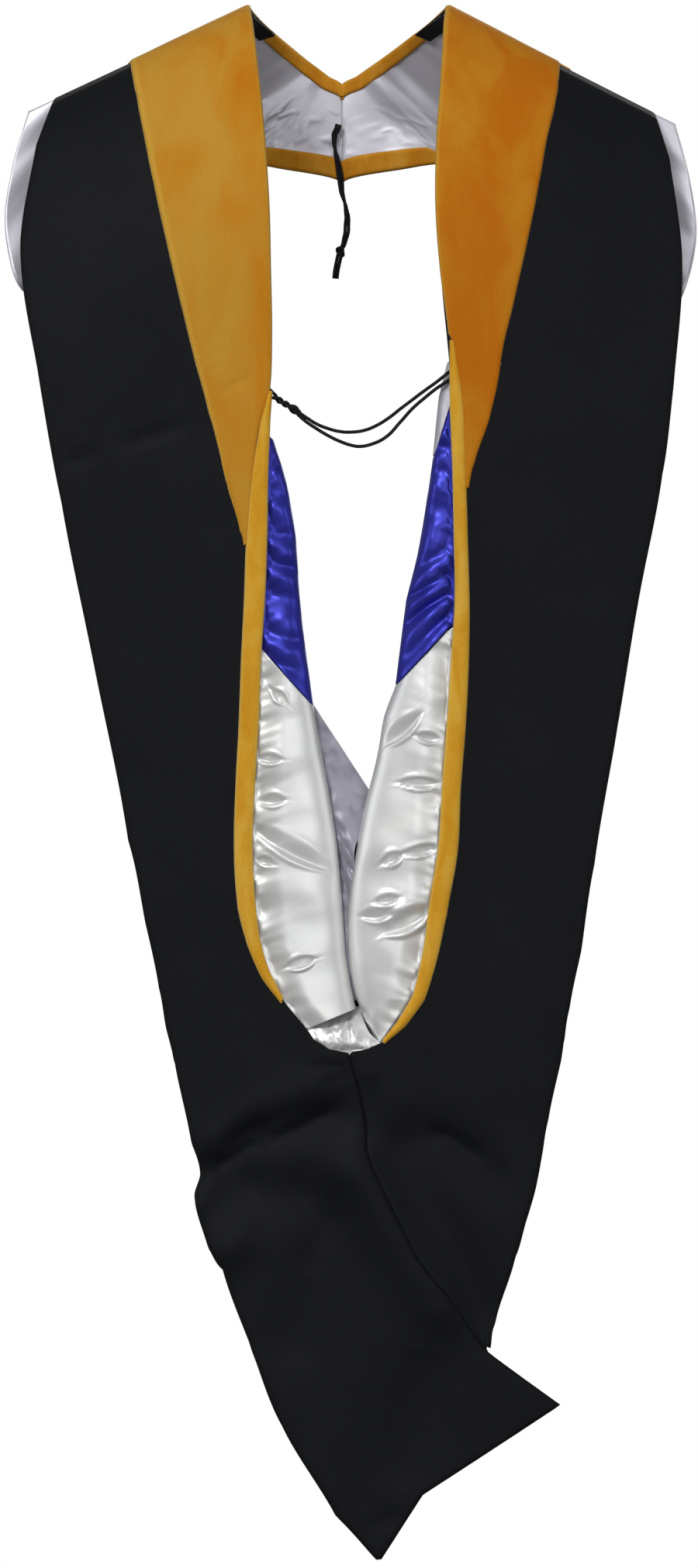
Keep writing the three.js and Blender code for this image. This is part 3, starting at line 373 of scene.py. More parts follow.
# the white satin again, painted greyer and lavender as painted shade for the pieces that lie in shade (the
# upper right roll and the front lining), with less gloss
satinPaintedShade = polyesterSatin("polyester_satin_white_painted_shade", "#dad8e0", "#c8c6d1", 0.36, 0.40)
# the white satin once more, painted a darker lavender-grey as painted shade for the centre piece, which lies
# deep in the bag
satinPaintedDeepShade = polyesterSatin("polyester_satin_white_painted_deep_shade", "#a3a1ad", "#8b8996", 0.35, 0.40)
blueSatin = polyesterSatin("polyester_satin_royal_blue", "#3c40bc", "#292b96", 0.62, 0.36)
blackCord = braidedCord()
blackButton = mouldedPolyester()
print("materials ready")

# Form of the hood

hoodForm = {
    "length": 1.067,            # neck point to the tip of the tail
    "shoulderHalf": 0.237,      # centre to the widest point
    "neckHalf": 0.068,          # centre to a neck point
    "dropLeft": 0.079,          # fall of the shoulder line, neck point to widest point
    "dropRight": 0.086,
    "backDepth": 0.092,
    "backRoll": 0.180,
    "rollFall": 0.006,
    "sideCurve": 0.030,
    "velvetWidth": 0.080,
    "bindingWidth": 0.013,
    "bagDepth": 0.024,
    "foldRadius": 0.0032,
    "frontDepth": 0.100,
    "neckDrop": 0.050,
    "frontShift": 0.0045,
    "hemFall": 0.125,
    "puffLeft": 0.018,          # how far the front half stands off a straight line from neck to hem
    "puffRight": 0.009,
    "armReachLeft": 1.008,      # reach of the front half at the ends of the shoulders, in shoulderHalf
    "armReachRight": 1.03,
    "shell": 0.0015,
    "velvet": 0.0018,
    "satin": 0.0012,
    "velvetOut": 0.0024,        # layers, from the middle of the near wall towards the viewer
    "liningOut": -0.00185,
    "turnedOut": -0.0041,
}
hoodLength = hoodForm["length"]
shoulderHalf = hoodForm["shoulderHalf"]
neckHalf = hoodForm["neckHalf"]

# Ridges and hollows of the hanging cloth. x0, down0, x1, down1: ends, as a place across and a distance
# below the shoulder line. rise: height, and width: how far it spreads.
clothFolds = (
    (-0.097, 0.787, -0.012, 0.760, -0.0053, 0.0180),
    (-0.090, 0.770, -0.024, 0.747, 0.0034, 0.0144),
    (-0.088, 0.817, -0.038, 0.813, -0.0048, 0.0216),
    (-0.100, 0.808, -0.081, 0.845, 0.0048, 0.0168),
    (0.007, 0.802, 0.064, 0.892, 0.0058, 0.0192),
    (0.033, 0.792, 0.090, 0.883, -0.0038, 0.0216),
    (-0.012, 0.832, -0.038, 0.915, -0.0034, 0.0216),
    (0.050, 0.776, 0.095, 0.787, -0.0034, 0.0192),
)
# Creases that are sharper than those folds, in the same columns
clothCreases = (
    (-0.0949, 0.7869, -0.0576, 0.7798, -0.0022, 0.0045),
    (-0.0576, 0.7798, -0.0048, 0.7563, -0.0022, 0.0045),
    (-0.0874, 0.7830, -0.0608, 0.7769, 0.0016, 0.0040),
    (-0.0608, 0.7769, -0.0261, 0.7632, 0.0014, 0.0040),
    (-0.0860, 0.7760, -0.0501, 0.7690, -0.0020, 0.0080),
    (-0.0954, 0.8000, -0.0554, 0.8118, -0.0022, 0.0140),
    (0.0522, 0.7739, 0.0959, 0.7786, -0.0026, 0.0060),
    (0.0149, 0.7329, 0.0155, 0.7888, -0.0022, 0.0080),
    (-0.0314, 0.7286, 0.0016, 0.7275, -0.0012, 0.0035),
    (-0.0181, 0.7409, 0.0032, 0.7329, -0.0012, 0.0035),
    (-0.0117, 0.8267, -0.0293, 0.8725, -0.0012, 0.0100),
    (0.0512, 0.9221, 0.0352, 1.0207, -0.0020, 0.0200),
    (0.0139, 1.0473, 0.0378, 1.0340, -0.0010, 0.0050),
    (-0.1967, 0.2543, -0.1700, 0.2561, -0.0012, 0.0060),
    (-0.1594, 0.2584, -0.1061, 0.2674, -0.0012, 0.0060),
)


def mix(a, b, t):
    return a + (b - a) * t


def clamp(value, low=0.0, high=1.0):
    return max(low, min(high, value))


def smoothStep(low, high, value):
    t = clamp((value - low) / (high - low))
    return t * t * (3 - 2 * t)


def signOf(side):
    return -1 if side == "left" else 1


def uneven(x, y, seed):
    return noise.noise(Vector((x, y, seed)))


# Values of a table at a place counted in rows: straight between rows in the At columns, smooth in the others
def rowAt(columns, rows, place):
    i = min(int(place), len(rows) - 2)
    t = place - i
    values = {}
    for k, name in enumerate(columns):
        b = rows[i][k]
        c = rows[i + 1][k]
        if name.endswith("At"):
            values[name] = mix(b, c, t)
            continue
        a = rows[i - 1][k] if i > 0 else 2 * b - c
        d = rows[i + 2][k] if i + 2 < len(rows) else 2 * c - b
        slopeIn = (c - a) / 2
        slopeOut = (d - b) / 2
        values[name] = (b * (2 * t ** 3 - 3 * t ** 2 + 1) + slopeIn * (t ** 3 - 2 * t ** 2 + t)
                        + c * (3 * t ** 2 - 2 * t ** 3) + slopeOut * (t ** 3 - t ** 2))
    return values


def shoulderLine(x):
    drop = hoodForm["dropLeft"] if x < 0 else hoodForm["dropRight"]
    return -drop * max(abs(x) - neckHalf, 0) / (shoulderHalf - neckHalf)


reliefForm = {
    "ridgeReach": 3,            # widths from its line at which a ridge ends
    "foldGain": 1.4,            # how much deeper the folds and creases are than in their tables
    "creaseGain": 1.5,
    "hangFrom": 0.05,           # distance below the shoulder line where the uneven hang begins
    "hangFull": 0.3,
    # height, waves in a metre across and down, and seed
    "hang": ((0.0011, 16, 9, 3.1), (0.0004, 45, 30, 8.4)),
}


# Height over a straight line from one place to another, fading to its sides
def ridgeHeight(x, y, line, taper):
    x0, y0, x1, y1, rise, width = line
    runX = x1 - x0
    runY = y1 - y0
    t = clamp(((x - x0) * runX + (y - y0) * runY) / (runX ** 2 + runY ** 2))
    away = ((x - x0 - t * runX) ** 2 + (y - y0 - t * runY) ** 2) / width ** 2
    if away > reliefForm["ridgeReach"] ** 2:
        return 0.0
    share = 1 - abs(2 * t - 1) ** 3 if taper else 1.0
    return rise * share * math.exp(-away)


def clothRelief(x, down):
    look = reliefForm
    relief = look["foldGain"] * sum(ridgeHeight(x, down, fold, False) for fold in clothFolds)
    relief += look["creaseGain"] * sum(ridgeHeight(x, down, crease, True) for crease in clothCreases)
    share = smoothStep(look["hangFrom"], look["hangFull"], down)
    for height, across, along, seed in look["hang"]:
        relief += height * uneven(x * across, down * along, seed) * share
    return relief


def backSurface(x, down):
    turn = clamp(down / hoodForm["backRoll"])
    bow = math.sqrt(1 - (1 - turn) ** 2)
    depth = hoodForm["backDepth"] - hoodForm["sideCurve"] * (x / shoulderHalf) ** 2
    return Vector((x, -depth * bow, shoulderLine(x) - down - hoodForm["rollFall"] * bow))


# Point over the back: x, distance below the shoulder line as a share of the length, and distance out from
# the middle of the near wall
def backPoint(x, at, out=0.0, relief=1.0):
    down = at * hoodLength
    step = 0.001
    across = backSurface(x + step, down) - backSurface(x - step, down)
    along = backSurface(x, down + step) - backSurface(x, max(down - step, 0))
    normal = along.cross(across).normalized()
    if relief:
        out += relief * clothRelief(x, down)
    return backSurface(x, down) + normal * out


# Cloth on a grid of cells, each corner moved to its place by pointAt(u, v)
def makeCloth(name, across, down, pointAt, thickness, material):
    bm = bmesh.new()
    uvLayer = bm.loops.layers.uv.new("UVMap")
    bmesh.ops.create_grid(bm, x_segments=across, y_segments=down, size=0.5, calc_uvs=True)
    corners = {}
    for vert in bm.verts:
        u = clamp(vert.co.x + 0.5)
        v = clamp(0.5 - vert.co.y)
        vert.co = pointAt(u, v)
        corners[(round(u * across), round(v * down))] = vert.co.copy()
    width = sum((corners[(i, down // 2)] - corners[(i + 1, down // 2)]).length for i in range(across))
    length = sum((corners[(across // 2, j)] - corners[(across // 2, j + 1)]).length for j in range(down))
    for face in bm.faces:
        for loop in face.loops:
            loop[uvLayer].uv = (loop[uvLayer].uv.x * width, loop[uvLayer].uv.y * length)
    area = sum(face.calc_area() for face in bm.faces)
    bmesh.ops.recalc_face_normals(bm, faces=bm.faces)
    piece = addObject(name, bm, material)
    wall = piece.modifiers.new("thickness", "SOLIDIFY")
    wall.thickness = thickness
    wall.offset = 0
    print(f"{name}: {width:.3f} by {length:.3f} m, {area:.4f} m2")
    return piece, area


def finishPiece(piece, node):
    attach(piece, "root")
    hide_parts(node)


def addCloth(name, across, down, pointAt, thickness, material):
    piece, area = makeCloth(name + "_cloth", across, down, pointAt, thickness, material)
    finishPiece(piece, name)


# Drop of a rolled edge: 0 inside the cloth, full depth at the edge itself
def edgeRoll(distance, radius, depth):
    if distance >= radius:
        return 0.0
    return depth * (1 - math.sqrt(1 - (1 - max(distance, 0) / radius) ** 2))


# Back panels

# inner: edge of the opening in neckHalf. outer: fold at the side, and far: inner edge of the far wall, both
# in shoulderHalf. gap: between the two walls at the far edge, in bagDepth. At: distance down, in hoodLength.
openingColumns = ("inner", "innerAt", "outer", "outerAt", "far", "farAt", "gap")
openingRows = {
    "left": (
        (1.003, 0.0000, 0.868, 0.0000, 0.830, 0.0040, 0.27),
        (0.948, 0.0226, 0.913, 0.0226, 0.870, 0.0270, 0.27),
        (0.846, 0.0843, 0.956, 0.0843, 0.908, 0.0890, 0.27),
        (0.787, 0.1687, 0.904, 0.1687, 0.310, 0.2560, 0.85),
        (0.792, 0.2597, 0.834, 0.2616, 0.205, 0.3180, 1),
        (0.854, 0.3796, 0.735, 0.3813, 0.175, 0.3950, 1),
        (0.948, 0.4995, 0.639, 0.5001, 0.060, 0.4950, 1),
        (0.964, 0.5544, 0.589, 0.5582, -0.034, 0.5145, 1),
        (0.886, 0.6044, 0.549, 0.6048, -0.038, 0.5694, 1),
        (0.682, 0.6369, 0.529, 0.6319, -0.038, 0.6244, 1),
        (0.345, 0.6653, 0.506, 0.6557, -0.034, 0.6593, 1),
        (0.190, 0.6713, 0.500, 0.6617, -0.024, 0.6706, 1),
        (0.000, 0.6733, 0.495, 0.6678, -0.013, 0.6818, 1),
    ),
    "right": (
        (0.995, 0.0000, 0.904, 0.0000, 0.866, 0.0040, 0.27),
        (0.964, 0.0226, 0.940, 0.0226, 0.896, 0.0270, 0.27),
        (0.897, 0.0843, 0.974, 0.0843, 0.926, 0.0890, 0.27),
        (0.933, 0.1687, 0.947, 0.1687, 0.345, 0.2300, 0.85),
        (1.034, 0.2400, 0.914, 0.2290, 0.290, 0.2850, 1),
        (1.074, 0.3771, 0.842, 0.3221, 0.190, 0.3896, 1),
        (1.011, 0.4592, 0.783, 0.4067, 0.120, 0.4745, 1),
        (0.893, 0.5544, 0.715, 0.5041, 0.044, 0.5245, 1),
        (0.784, 0.5994, 0.677, 0.5636, 0.041, 0.5844, 1),
        (0.635, 0.6394, 0.643, 0.6045, 0.041, 0.6344, 1),
        (0.337, 0.6673, 0.628, 0.6264, 0.035, 0.6693, 1),
        (0.180, 0.6713, 0.623, 0.6332, 0.029, 0.6768, 1),
        (0.000, 0.6733, 0.619, 0.6399, 0.020, 0.6843, 1),
    ),
}
seamColumns = ("seam", "seamAt")
seamRows = ((0.000, 0.6733), (0.047, 0.7168), (0.056, 0.7393), (0.108, 0.7667), (0.161, 0.7895),
            (0.220, 0.8127), (0.351, 0.8443))
# lift: how far the middle of a row stands above the straight line between its ends, in hoodLength
tailColumns = ("seam", "seamAt", "outer", "outerAt", "gap", "lift")
tailRows = {
    "left": (
        (*seamRows[0], -0.495, 0.6678, 1, 0),
        (*seamRows[1], -0.454, 0.7145, 0.92, 0),
        (*seamRows[2], -0.430, 0.7365, 0.86, 0),
        (*seamRows[3], -0.445, 0.7504, 0.86, 0),
        (*seamRows[4], -0.405, 0.7870, 0.82, 0),
        (*seamRows[5], -0.363, 0.8053, 0.78, 0),
        (*seamRows[6], -0.277, 0.8666, 0.68, 0),
        (0.403, 0.8532, -0.190, 0.9141, 0.58, 0.003),
        (0.511, 0.8590, -0.034, 0.9720, 0.45, 0.010),
        (0.616, 0.8640, 0.083, 1.0000, 0.3, 0.0185),
    ),
    "right": (
        (*seamRows[0], 0.619, 0.6399, 1, 0),
        (*seamRows[1], 0.580, 0.6844, 0.9, 0),
        (*seamRows[2], 0.562, 0.7090, 0.8, 0),
        (*seamRows[3], 0.542, 0.7339, 0.7, 0),
        (*seamRows[4], 0.514, 0.7580, 0.62, 0),
        (*seamRows[5], 0.484, 0.7833, 0.55, 0),
        (*seamRows[6], 0.426, 0.8330, 0.35, 0),
        (0.404, 0.8532, 0.412, 0.8500, 0.28, 0),
    ),
}
panelLook = {
    "nearCells": 56,
    "foldCells": 8,
    "farCells": 22,
    "rowStep": 0.0034,
    "bend": 0.77,               # place across at which the lift of a row is greatest
    "seamGap": 0.0001,
    "seamFrom": 0.05,           # rows past the opening at which the seam begins to be pressed in
    "seamRadius": 0.003,
    "seamDrop": 0.0012,
}


# Places along a panel, spaced evenly down its outer edge
def panelPlaces(side):
    opening = openingRows[side]
    tail = tailRows[side]
    pairs = [*zip(opening, opening[1:]), *zip(tail, tail[1:])]
    steps = [max(abs(b[3] - a[3]), abs(b[1] - a[1])) for a, b in pairs]
    total = sum(steps)
    count = int(total * hoodLength / panelLook["rowStep"])
    places = []
    for k in range(count + 1):
        left = total * k / count
        place = 0
        while place < len(steps) - 1 and left > steps[place]:
            left -= steps[place]
            place += 1
        places.append(place + clamp(left / steps[place]))
    return places


def panelRow(side, place):
    sign = signOf(side)
    opening = openingRows[side]
    if place <= len(opening) - 1:
        row = rowAt(openingColumns, opening, place)
        row["inner"] = sign * (row["inner"] * neckHalf + panelLook["seamGap"])
        row["outer"] = sign * row["outer"] * shoulderHalf
        row["far"] = sign * row["far"] * shoulderHalf
        row["lift"] = 0
        return row
    place -= len(opening) - 1
    row = rowAt(tailColumns, tailRows[side], place)
    if place <= len(seamRows) - 1:
        row.update(rowAt(seamColumns, seamRows, place))
    middle = row["seam"] * shoulderHalf + sign * panelLook["seamGap"]
    row.update(inner=middle, innerAt=row["seamAt"], far=middle, farAt=row["seamAt"])
    row["outer"] *= shoulderHalf
    return row


# Distance below the shoulder line of a place on the straight line between two others
def atBetween(x0, at0, x1, at1, t):
    height = mix(shoulderLine(x0) - at0 * hoodLength, shoulderLine(x1) - at1 * hoodLength, t)
    return (shoulderLine(mix(x0, x1, t)) - height) / hoodLength


def addBackPanel(side):
    sign = signOf(side)
    radius = hoodForm["foldRadius"]
    near = panelLook["nearCells"]
    fold = panelLook["foldCells"]
    far = panelLook["farCells"]
    places = panelPlaces(side)
    rows = [panelRow(side, place) for place in places]
    seamStart = len(openingRows[side]) - 1 + panelLook["seamFrom"]

    def pointAt(u, v):
        cell = round(u * (near + fold + far))
        line = round(v * (len(rows) - 1))
        row = rows[line]
        bend = panelLook["bend"]
        turn = row["outer"] - sign * radius
        if cell <= near:
            t = cell / near
            x = mix(row["inner"], turn, t)
            at = atBetween(row["inner"], row["innerAt"], turn, row["outerAt"], t)
            bent = t
            out = 0
            relief = 1
        elif cell < near + fold:
            angle = math.pi * (cell - near) / fold
            bent = 1.0
            x = turn + sign * radius * math.sin(angle)
            at = row["outerAt"]
            out = -radius * (1 - math.cos(angle))
            relief = 1 - angle / math.pi
        else:
            t = (cell - near - fold) / far
            deep = max(row["gap"] * hoodForm["bagDepth"] - 2 * radius, 0)
            x = mix(turn, row["far"], t)
            at = atBetween(turn, row["outerAt"], row["far"], row["farAt"], t)
            bent = 1 - t
            out = -2 * radius - deep * math.sin(t * math.pi / 2)
            relief = 0
        at -= row["lift"] * min(bent / bend, (1 - bent) / (1 - bend))
        if cell <= near and places[line] > seamStart:
            out -= edgeRoll(abs(x - row["inner"]), panelLook["seamRadius"], panelLook["seamDrop"])
        return backPoint(x, at, out, relief)

    addCloth(f"back_panel_{side}", near + fold + far, len(rows) - 1, pointAt, hoodForm["shell"], blackCloth)


for side in ("left", "right"):
    addBackPanel(side)
print("back panels made")

# Velvet edge of the opening

# inner: edge of the opening in neckHalf, covered: by the binding, in bindingWidth,
# width: from the edge of the opening, in velvetWidth
wedgeColumns = ("inner", "innerAt", "covered", "width", "outerAt")
wedgeRows = {
    "left": (
        (1.003, 0.0000, 0.00, 1.026, 0.0000),
        (0.975, 0.0113, 0.00, 1.023, 0.0113),
        (0.948, 0.0226, 0.00, 1.013, 0.0226),
        (0.893, 0.0534, 0.00, 0.986, 0.0534),
        (0.846, 0.0843, 0.00, 0.946, 0.0843),
        (0.803, 0.1265, 0.00, 0.870, 0.1265),
        (0.787, 0.1687, 0.00, 0.765, 0.1687),
        (0.776, 0.2100, 0.00, 0.653, 0.2100),
        (0.776, 0.2470, 0.12, 0.528, 0.2500),
        (0.803, 0.2747, 0.60, 0.425, 0.2740),
        (0.815, 0.3000, 0.78, 0.341, 0.3000),
        (0.822, 0.3350, 0.97, 0.220, 0.3350),
        (0.826, 0.3450, 1.01, 0.184, 0.3450),
    ),
    "right": (
        (0.995, 0.0000, 0.00, 0.979, 0.0000),
        (0.976, 0.0113, 0.00, 0.978, 0.0113),
        (0.964, 0.0226, 0.00, 0.967, 0.0226),
        (0.933, 0.0534, 0.00, 0.907, 0.0534),
        (0.897, 0.0843, 0.00, 0.867, 0.0843),
        (0.886, 0.1265, 0.00, 0.773, 0.1265),
        (0.933, 0.1687, 0.00, 0.620, 0.1687),
        (1.019, 0.2090, 0.00, 0.440, 0.2090),
        (1.034, 0.2130, 0.18, 0.419, 0.2130),
        (1.034, 0.2520, 0.64, 0.321, 0.2520),
        (1.052, 0.2850, 0.65, 0.178, 0.2850),
        (1.061, 0.3030, 0.63, 0.120, 0.3030),
    ),
}
bindingColumns = ("inner", "innerAt", "width", "outerAt")
bindingRows = {
    "left": (
        (0.776, 0.2470, 0.10, 0.2480),
        (0.795, 0.2650, 0.43, 0.2670),
        (0.815, 0.3000, 0.78, 0.3010),
        (0.823, 0.3397, 1.03, 0.3407),
        (0.846, 0.3796, 1.03, 0.3786),
        (0.886, 0.4196, 0.98, 0.4190),
        (0.909, 0.4595, 0.98, 0.4585),
        (0.948, 0.4995, 0.95, 0.4985),
        (0.972, 0.5395, 0.90, 0.5395),
        (0.948, 0.5744, 0.82, 0.5774),
        (0.901, 0.5994, 0.53, 0.6054),
        (0.815, 0.6194, 0.25, 0.6254),
        (0.666, 0.6384, 0.03, 0.6414),
    ),
    "right": (
        (1.034, 0.2130, 0.13, 0.2130),
        (1.034, 0.2547, 0.62, 0.2520),
        (1.058, 0.2947, 0.62, 0.2930),
        (1.074, 0.3397, 0.65, 0.3390),
        (1.082, 0.3796, 0.70, 0.3786),
        (1.042, 0.4196, 0.86, 0.4186),
        (1.003, 0.4595, 0.90, 0.4585),
        (0.956, 0.4995, 0.90, 0.4985),
        (0.917, 0.5395, 0.94, 0.5405),
        (0.823, 0.5794, 0.86, 0.5844),
        (0.768, 0.6054, 0.65, 0.6119),
        (0.666, 0.6354, 0.49, 0.6394),
        (0.517, 0.6523, 0.25, 0.6563),
        (0.353, 0.6658, 0.02, 0.6673),
    ),
}
# Creases in the pile of the wedges, in the columns of the cloth folds
velvetCreases = (
    (-0.0927, 0.2550, -0.0613, 0.2532, -0.0008, 0.0030),
    (0.0783, 0.2147, 0.0927, 0.2475, -0.0008, 0.0030),
)
velvetForm = {
    "edgeRadius": 0.0030,
    "edgeDrop": 0.0016,
    "crown": 0.0009,            # how far the middle of a binding stands out
    "edgeGap": 0.0001,
    "topCover": 0.0006,         # the pile starts that far before the top edge
}


def addVelvetStrip(name, side, columns, rows, width, cells, crown, material):
    sign = signOf(side)
    last = len(rows) - 1
    look = velvetForm

    def pointAt(u, v):
        row = rowAt(columns, rows, v * last)
        start = row["inner"] * neckHalf
        inner = start + row.get("covered", 0) * hoodForm["bindingWidth"] + look["edgeGap"]
        outer = start + row["width"] * width
        x = mix(inner, outer, u)
        at = mix(row["innerAt"], row["outerAt"], u)
        out = hoodForm["velvetOut"] + crown * 4 * u * (1 - u)
        fromEdge = min(x - inner, outer - x, at * hoodLength + look["topCover"])
        out -= edgeRoll(fromEdge, look["edgeRadius"], look["edgeDrop"])
        out += sum(ridgeHeight(sign * x, at * hoodLength, line, True) for line in velvetCreases)
        return backPoint(sign * x, at, out)

    across, down = cells
    addCloth(name, across, down, pointAt, hoodForm["velvet"], material)


for side in ("left", "right"):
    addVelvetStrip(f"velvet_wedge_{side}", side, wedgeColumns, wedgeRows[side],
                   hoodForm["velvetWidth"], (60, 180), 0, goldVelvet)
    addVelvetStrip(f"velvet_binding_{side}", side, bindingColumns, bindingRows[side],
                   hoodForm["bindingWidth"], (14, 240), velvetForm["crown"], goldBindingPaintedHighlight)
print("velvet made")

# Satin lining in the opening

# edge: under the velvet, roll: where the satin turns away out of sight, both in neckHalf
satinColumns = ("edge", "edgeAt", "roll", "rollAt")
satinRows = {
    "lining_upper_right": (
        (1.277, 0.2058, 1.027, 0.2274),
        (1.254, 0.2096, 0.940, 0.2507),
        (1.230, 0.2134, 0.878, 0.2886),
    ),
    "lining_blue_left": (
        (0.995, 0.2647, 0.776, 0.2782),
        (1.027, 0.2989, 0.643, 0.3057),
        (1.042, 0.3334, 0.549, 0.3397),
        (1.058, 0.3679, 0.494, 0.3871),
        (1.066, 0.3986, 0.368, 0.4491),
    ),
    "lining_blue_right": (
        (1.230, 0.2154, 0.878, 0.2902),
        (1.254, 0.2661, 0.815, 0.3172),
        (1.270, 0.3055, 0.721, 0.3521),
        (1.270, 0.3455, 0.603, 0.3821),
        (1.262, 0.3822, 0.494, 0.4361),
    ),
    "lining_white_left": (
        (1.066, 0.3996, 0.368, 0.4501),
        (1.121, 0.4410, 0.298, 0.4745),
        (1.160, 0.4898, 0.212, 0.5045),
        (1.176, 0.5293, 0.125, 0.5395),
        (1.144, 0.5702, 0.071, 0.5794),
        (1.027, 0.6111, 0.031, 0.6119),
        (0.760, 0.6444, -0.024, 0.6319),
        (0.478, 0.6598, -0.071, 0.6454),
    ),
    "lining_white_right": (
        (1.262, 0.3832, 0.494, 0.4371),
        (1.238, 0.4264, 0.376, 0.4570),
        (1.199, 0.4677, 0.306, 0.4820),
        (1.144, 0.5146, 0.180, 0.5145),
        (1.082, 0.5517, 0.078, 0.5495),
        (0.995, 0.5894, 0.008, 0.5844),
        (0.917, 0.6144, 0.016, 0.6144),
        (0.807, 0.6394, 0.078, 0.6359),
        (0.596, 0.6593, 0.180, 0.6533),
        (0.400, 0.6693, 0.274, 0.6648),
    ),
}
satinForm = {
    "lobeDepth": 0.013,
    "lobeRoll": 0.004,
    "rollShare": 0.82,          # share of the cells before the edge rolls in
    "rollAngle": 165,
    "cellSpread": 0.9,
    "puff": 0.0050,
    "puffStart": 0.02,          # distance from the seam over which the puff grows
    "wrinkleStart": 0.004,
    "wrinkleGain": 2.3,         # how much deeper the single wrinkles are than in their table
    "crumple": (34, 42),        # waves in a metre across and down
    "upperCrumple": 0.0008,
    "blueCrumple": 0.0012,
    "whiteCrumple": 0.0014,
}
# Short folds where the satin is gathered into the seam under the velvet
gatherForm = {
    "height": 0.0026,
    "reach": 0.009,
    "start": 0.002,
    "slant": 0.35,
    # share of the height, waves in a metre along the seam and away from it, and seed
    "waves": ((1.2, 75, 22, 0), (0.6, 170, 40, 4)),
}
wrinkleForm = {
    "endRise": 0.2,             # height and width at the ends, as shares of those in the middle
    "endWidth": 0.45,
    "endFade": 0.002,
    "reach": 4,                 # this and the next five are in widths
    "slope": (-1.5, 1.0),
    "return": (0.9, 1.5),
    "rim": 1.7,
    "rimWidth": 0.4,
    "backRimWidth": 0.5,
    "backRimShare": 0.5,
    "rimShare": 0.35,
}
# height to start: of the slanting folds. warp, changing: what makes them uneven.
blueFolds = {
    "height": 0.0027,
    "pitch": 0.0215,
    "slant": 0.55,
    "start": 0.005,
    "warp": (0.9, 20, 17),      # in pitches, and its waves in a metre across and down
    "leastShare": 0.35,
    "changing": (1.3, 14, 20),
    "sharpness": 0.12,
    "sharpTurn": 0.8,
}

# Single wrinkles of the two white rolls, in the columns of the cloth folds
satinWrinkles = (
    (-0.0517, 0.469, -0.0421, 0.478, -0.0014, 0.0026),
    (-0.0618, 0.5160, -0.0458, 0.5165, -0.0016, 0.0026),
    (-0.0608, 0.5450, -0.0432, 0.5442, -0.0014, 0.0030),
    (-0.0640, 0.5640, -0.0144, 0.5910, -0.0011, 0.0050),
    (-0.0629, 0.5847, -0.0506, 0.5885, -0.0012, 0.0024),
    (-0.0421, 0.6593, -0.0235, 0.6534, -0.0018, 0.0030),
    (0.0251, 0.5064, 0.0485, 0.4850, -0.0016, 0.0040),
    (0.0357, 0.5325, 0.0613, 0.5330, -0.0022, 0.0028),
    (0.0229, 0.5884, 0.0368, 0.5815, -0.0020, 0.0030),
    (0.0368, 0.5815, 0.0624, 0.5767, -0.0016, 0.0026),
    (0.0181, 0.6151, 0.0346, 0.6114, -0.0018, 0.0028),
    (0.0235, 0.6350, 0.0560, 0.6190, -0.0024, 0.0054),
    (0.0091, 0.6241, 0.0309, 0.6220, -0.0012, 0.0036),
    (0.0469, 0.5000, 0.0624, 0.5026, -0.0014, 0.0026),
)


# Gathers along the seam: short folds across it that die out towards the middle of the roll
def seamGathers(down, fromSeam, seed):
    look = gatherForm
    if fromSeam < 0:
        return 0.0
    place = down + look["slant"] * fromSeam
    reach = math.exp(-fromSeam / look["reach"]) * smoothStep(0, look["start"], fromSeam)
    height = sum(share * uneven(place * along, seed + more, fromSeam * away)
                 for share, along, away, more in look["waves"])
    return look["height"] * reach * height


# Wrinkle shaped like a lens: the satin slopes back going down, then returns sharply over a raised rim
def lensWrinkle(x, y, line):
    look = wrinkleForm
    x0, y0, x1, y1, rise, width = line
    runX = x1 - x0
    runY = y1 - y0
    length = math.hypot(runX, runY)
    t = clamp(((x - x0) * runX + (y - y0) * runY) / length ** 2)
    share = 1 - (2 * t - 1) ** 2
    away = math.hypot(x - x0 - t * runX, y - y0 - t * runY)
    if away > look["reach"] * width:
        return 0.0
    across = (runX * (y - y0) - runY * (x - x0)) / length * (1 if runX > 0 else -1)
    place = across / (width * mix(look["endWidth"], 1, share))
    ends = math.exp(-max(0.0, away - abs(across)) / look["endFade"])
    slope = smoothStep(*look["slope"], place) * (1 - smoothStep(*look["return"], place))
    rim = math.exp(-((place - look["rim"]) / look["rimWidth"]) ** 2)
    rim += look["backRimShare"] * math.exp(-((place + look["rim"]) / look["backRimWidth"]) ** 2)
    return rise * mix(look["endRise"], 1, share) * ends * (slope - look["rimShare"] * rim)


# Folds of the blue satin: they run from the seam slanting down towards the roll
def slantFolds(x, down, fromSeam, seed):
    look = blueFolds
    warp, across, along = look["warp"]
    phase = (down - look["slant"] * fromSeam) / look["pitch"] + warp * uneven(x * across, down * along, seed)
    change, across, along = look["changing"]
    strength = look["leastShare"] + change * abs(uneven(x * across, down * along, seed + 7))
    wave = math.sin(2 * math.pi * phase)
    wave += look["sharpness"] * math.sin(4 * math.pi * phase + look["sharpTurn"])
    return look["height"] * strength * wave * smoothStep(0, look["start"], fromSeam)


def openingEdge(side, at):
    rows = openingRows[side]
    for a, b in zip(rows, rows[1:]):
        if at <= b[1]:
            return mix(a[0], b[0], clamp((at - a[1]) / (b[1] - a[1]))) * neckHalf
    return 0.0


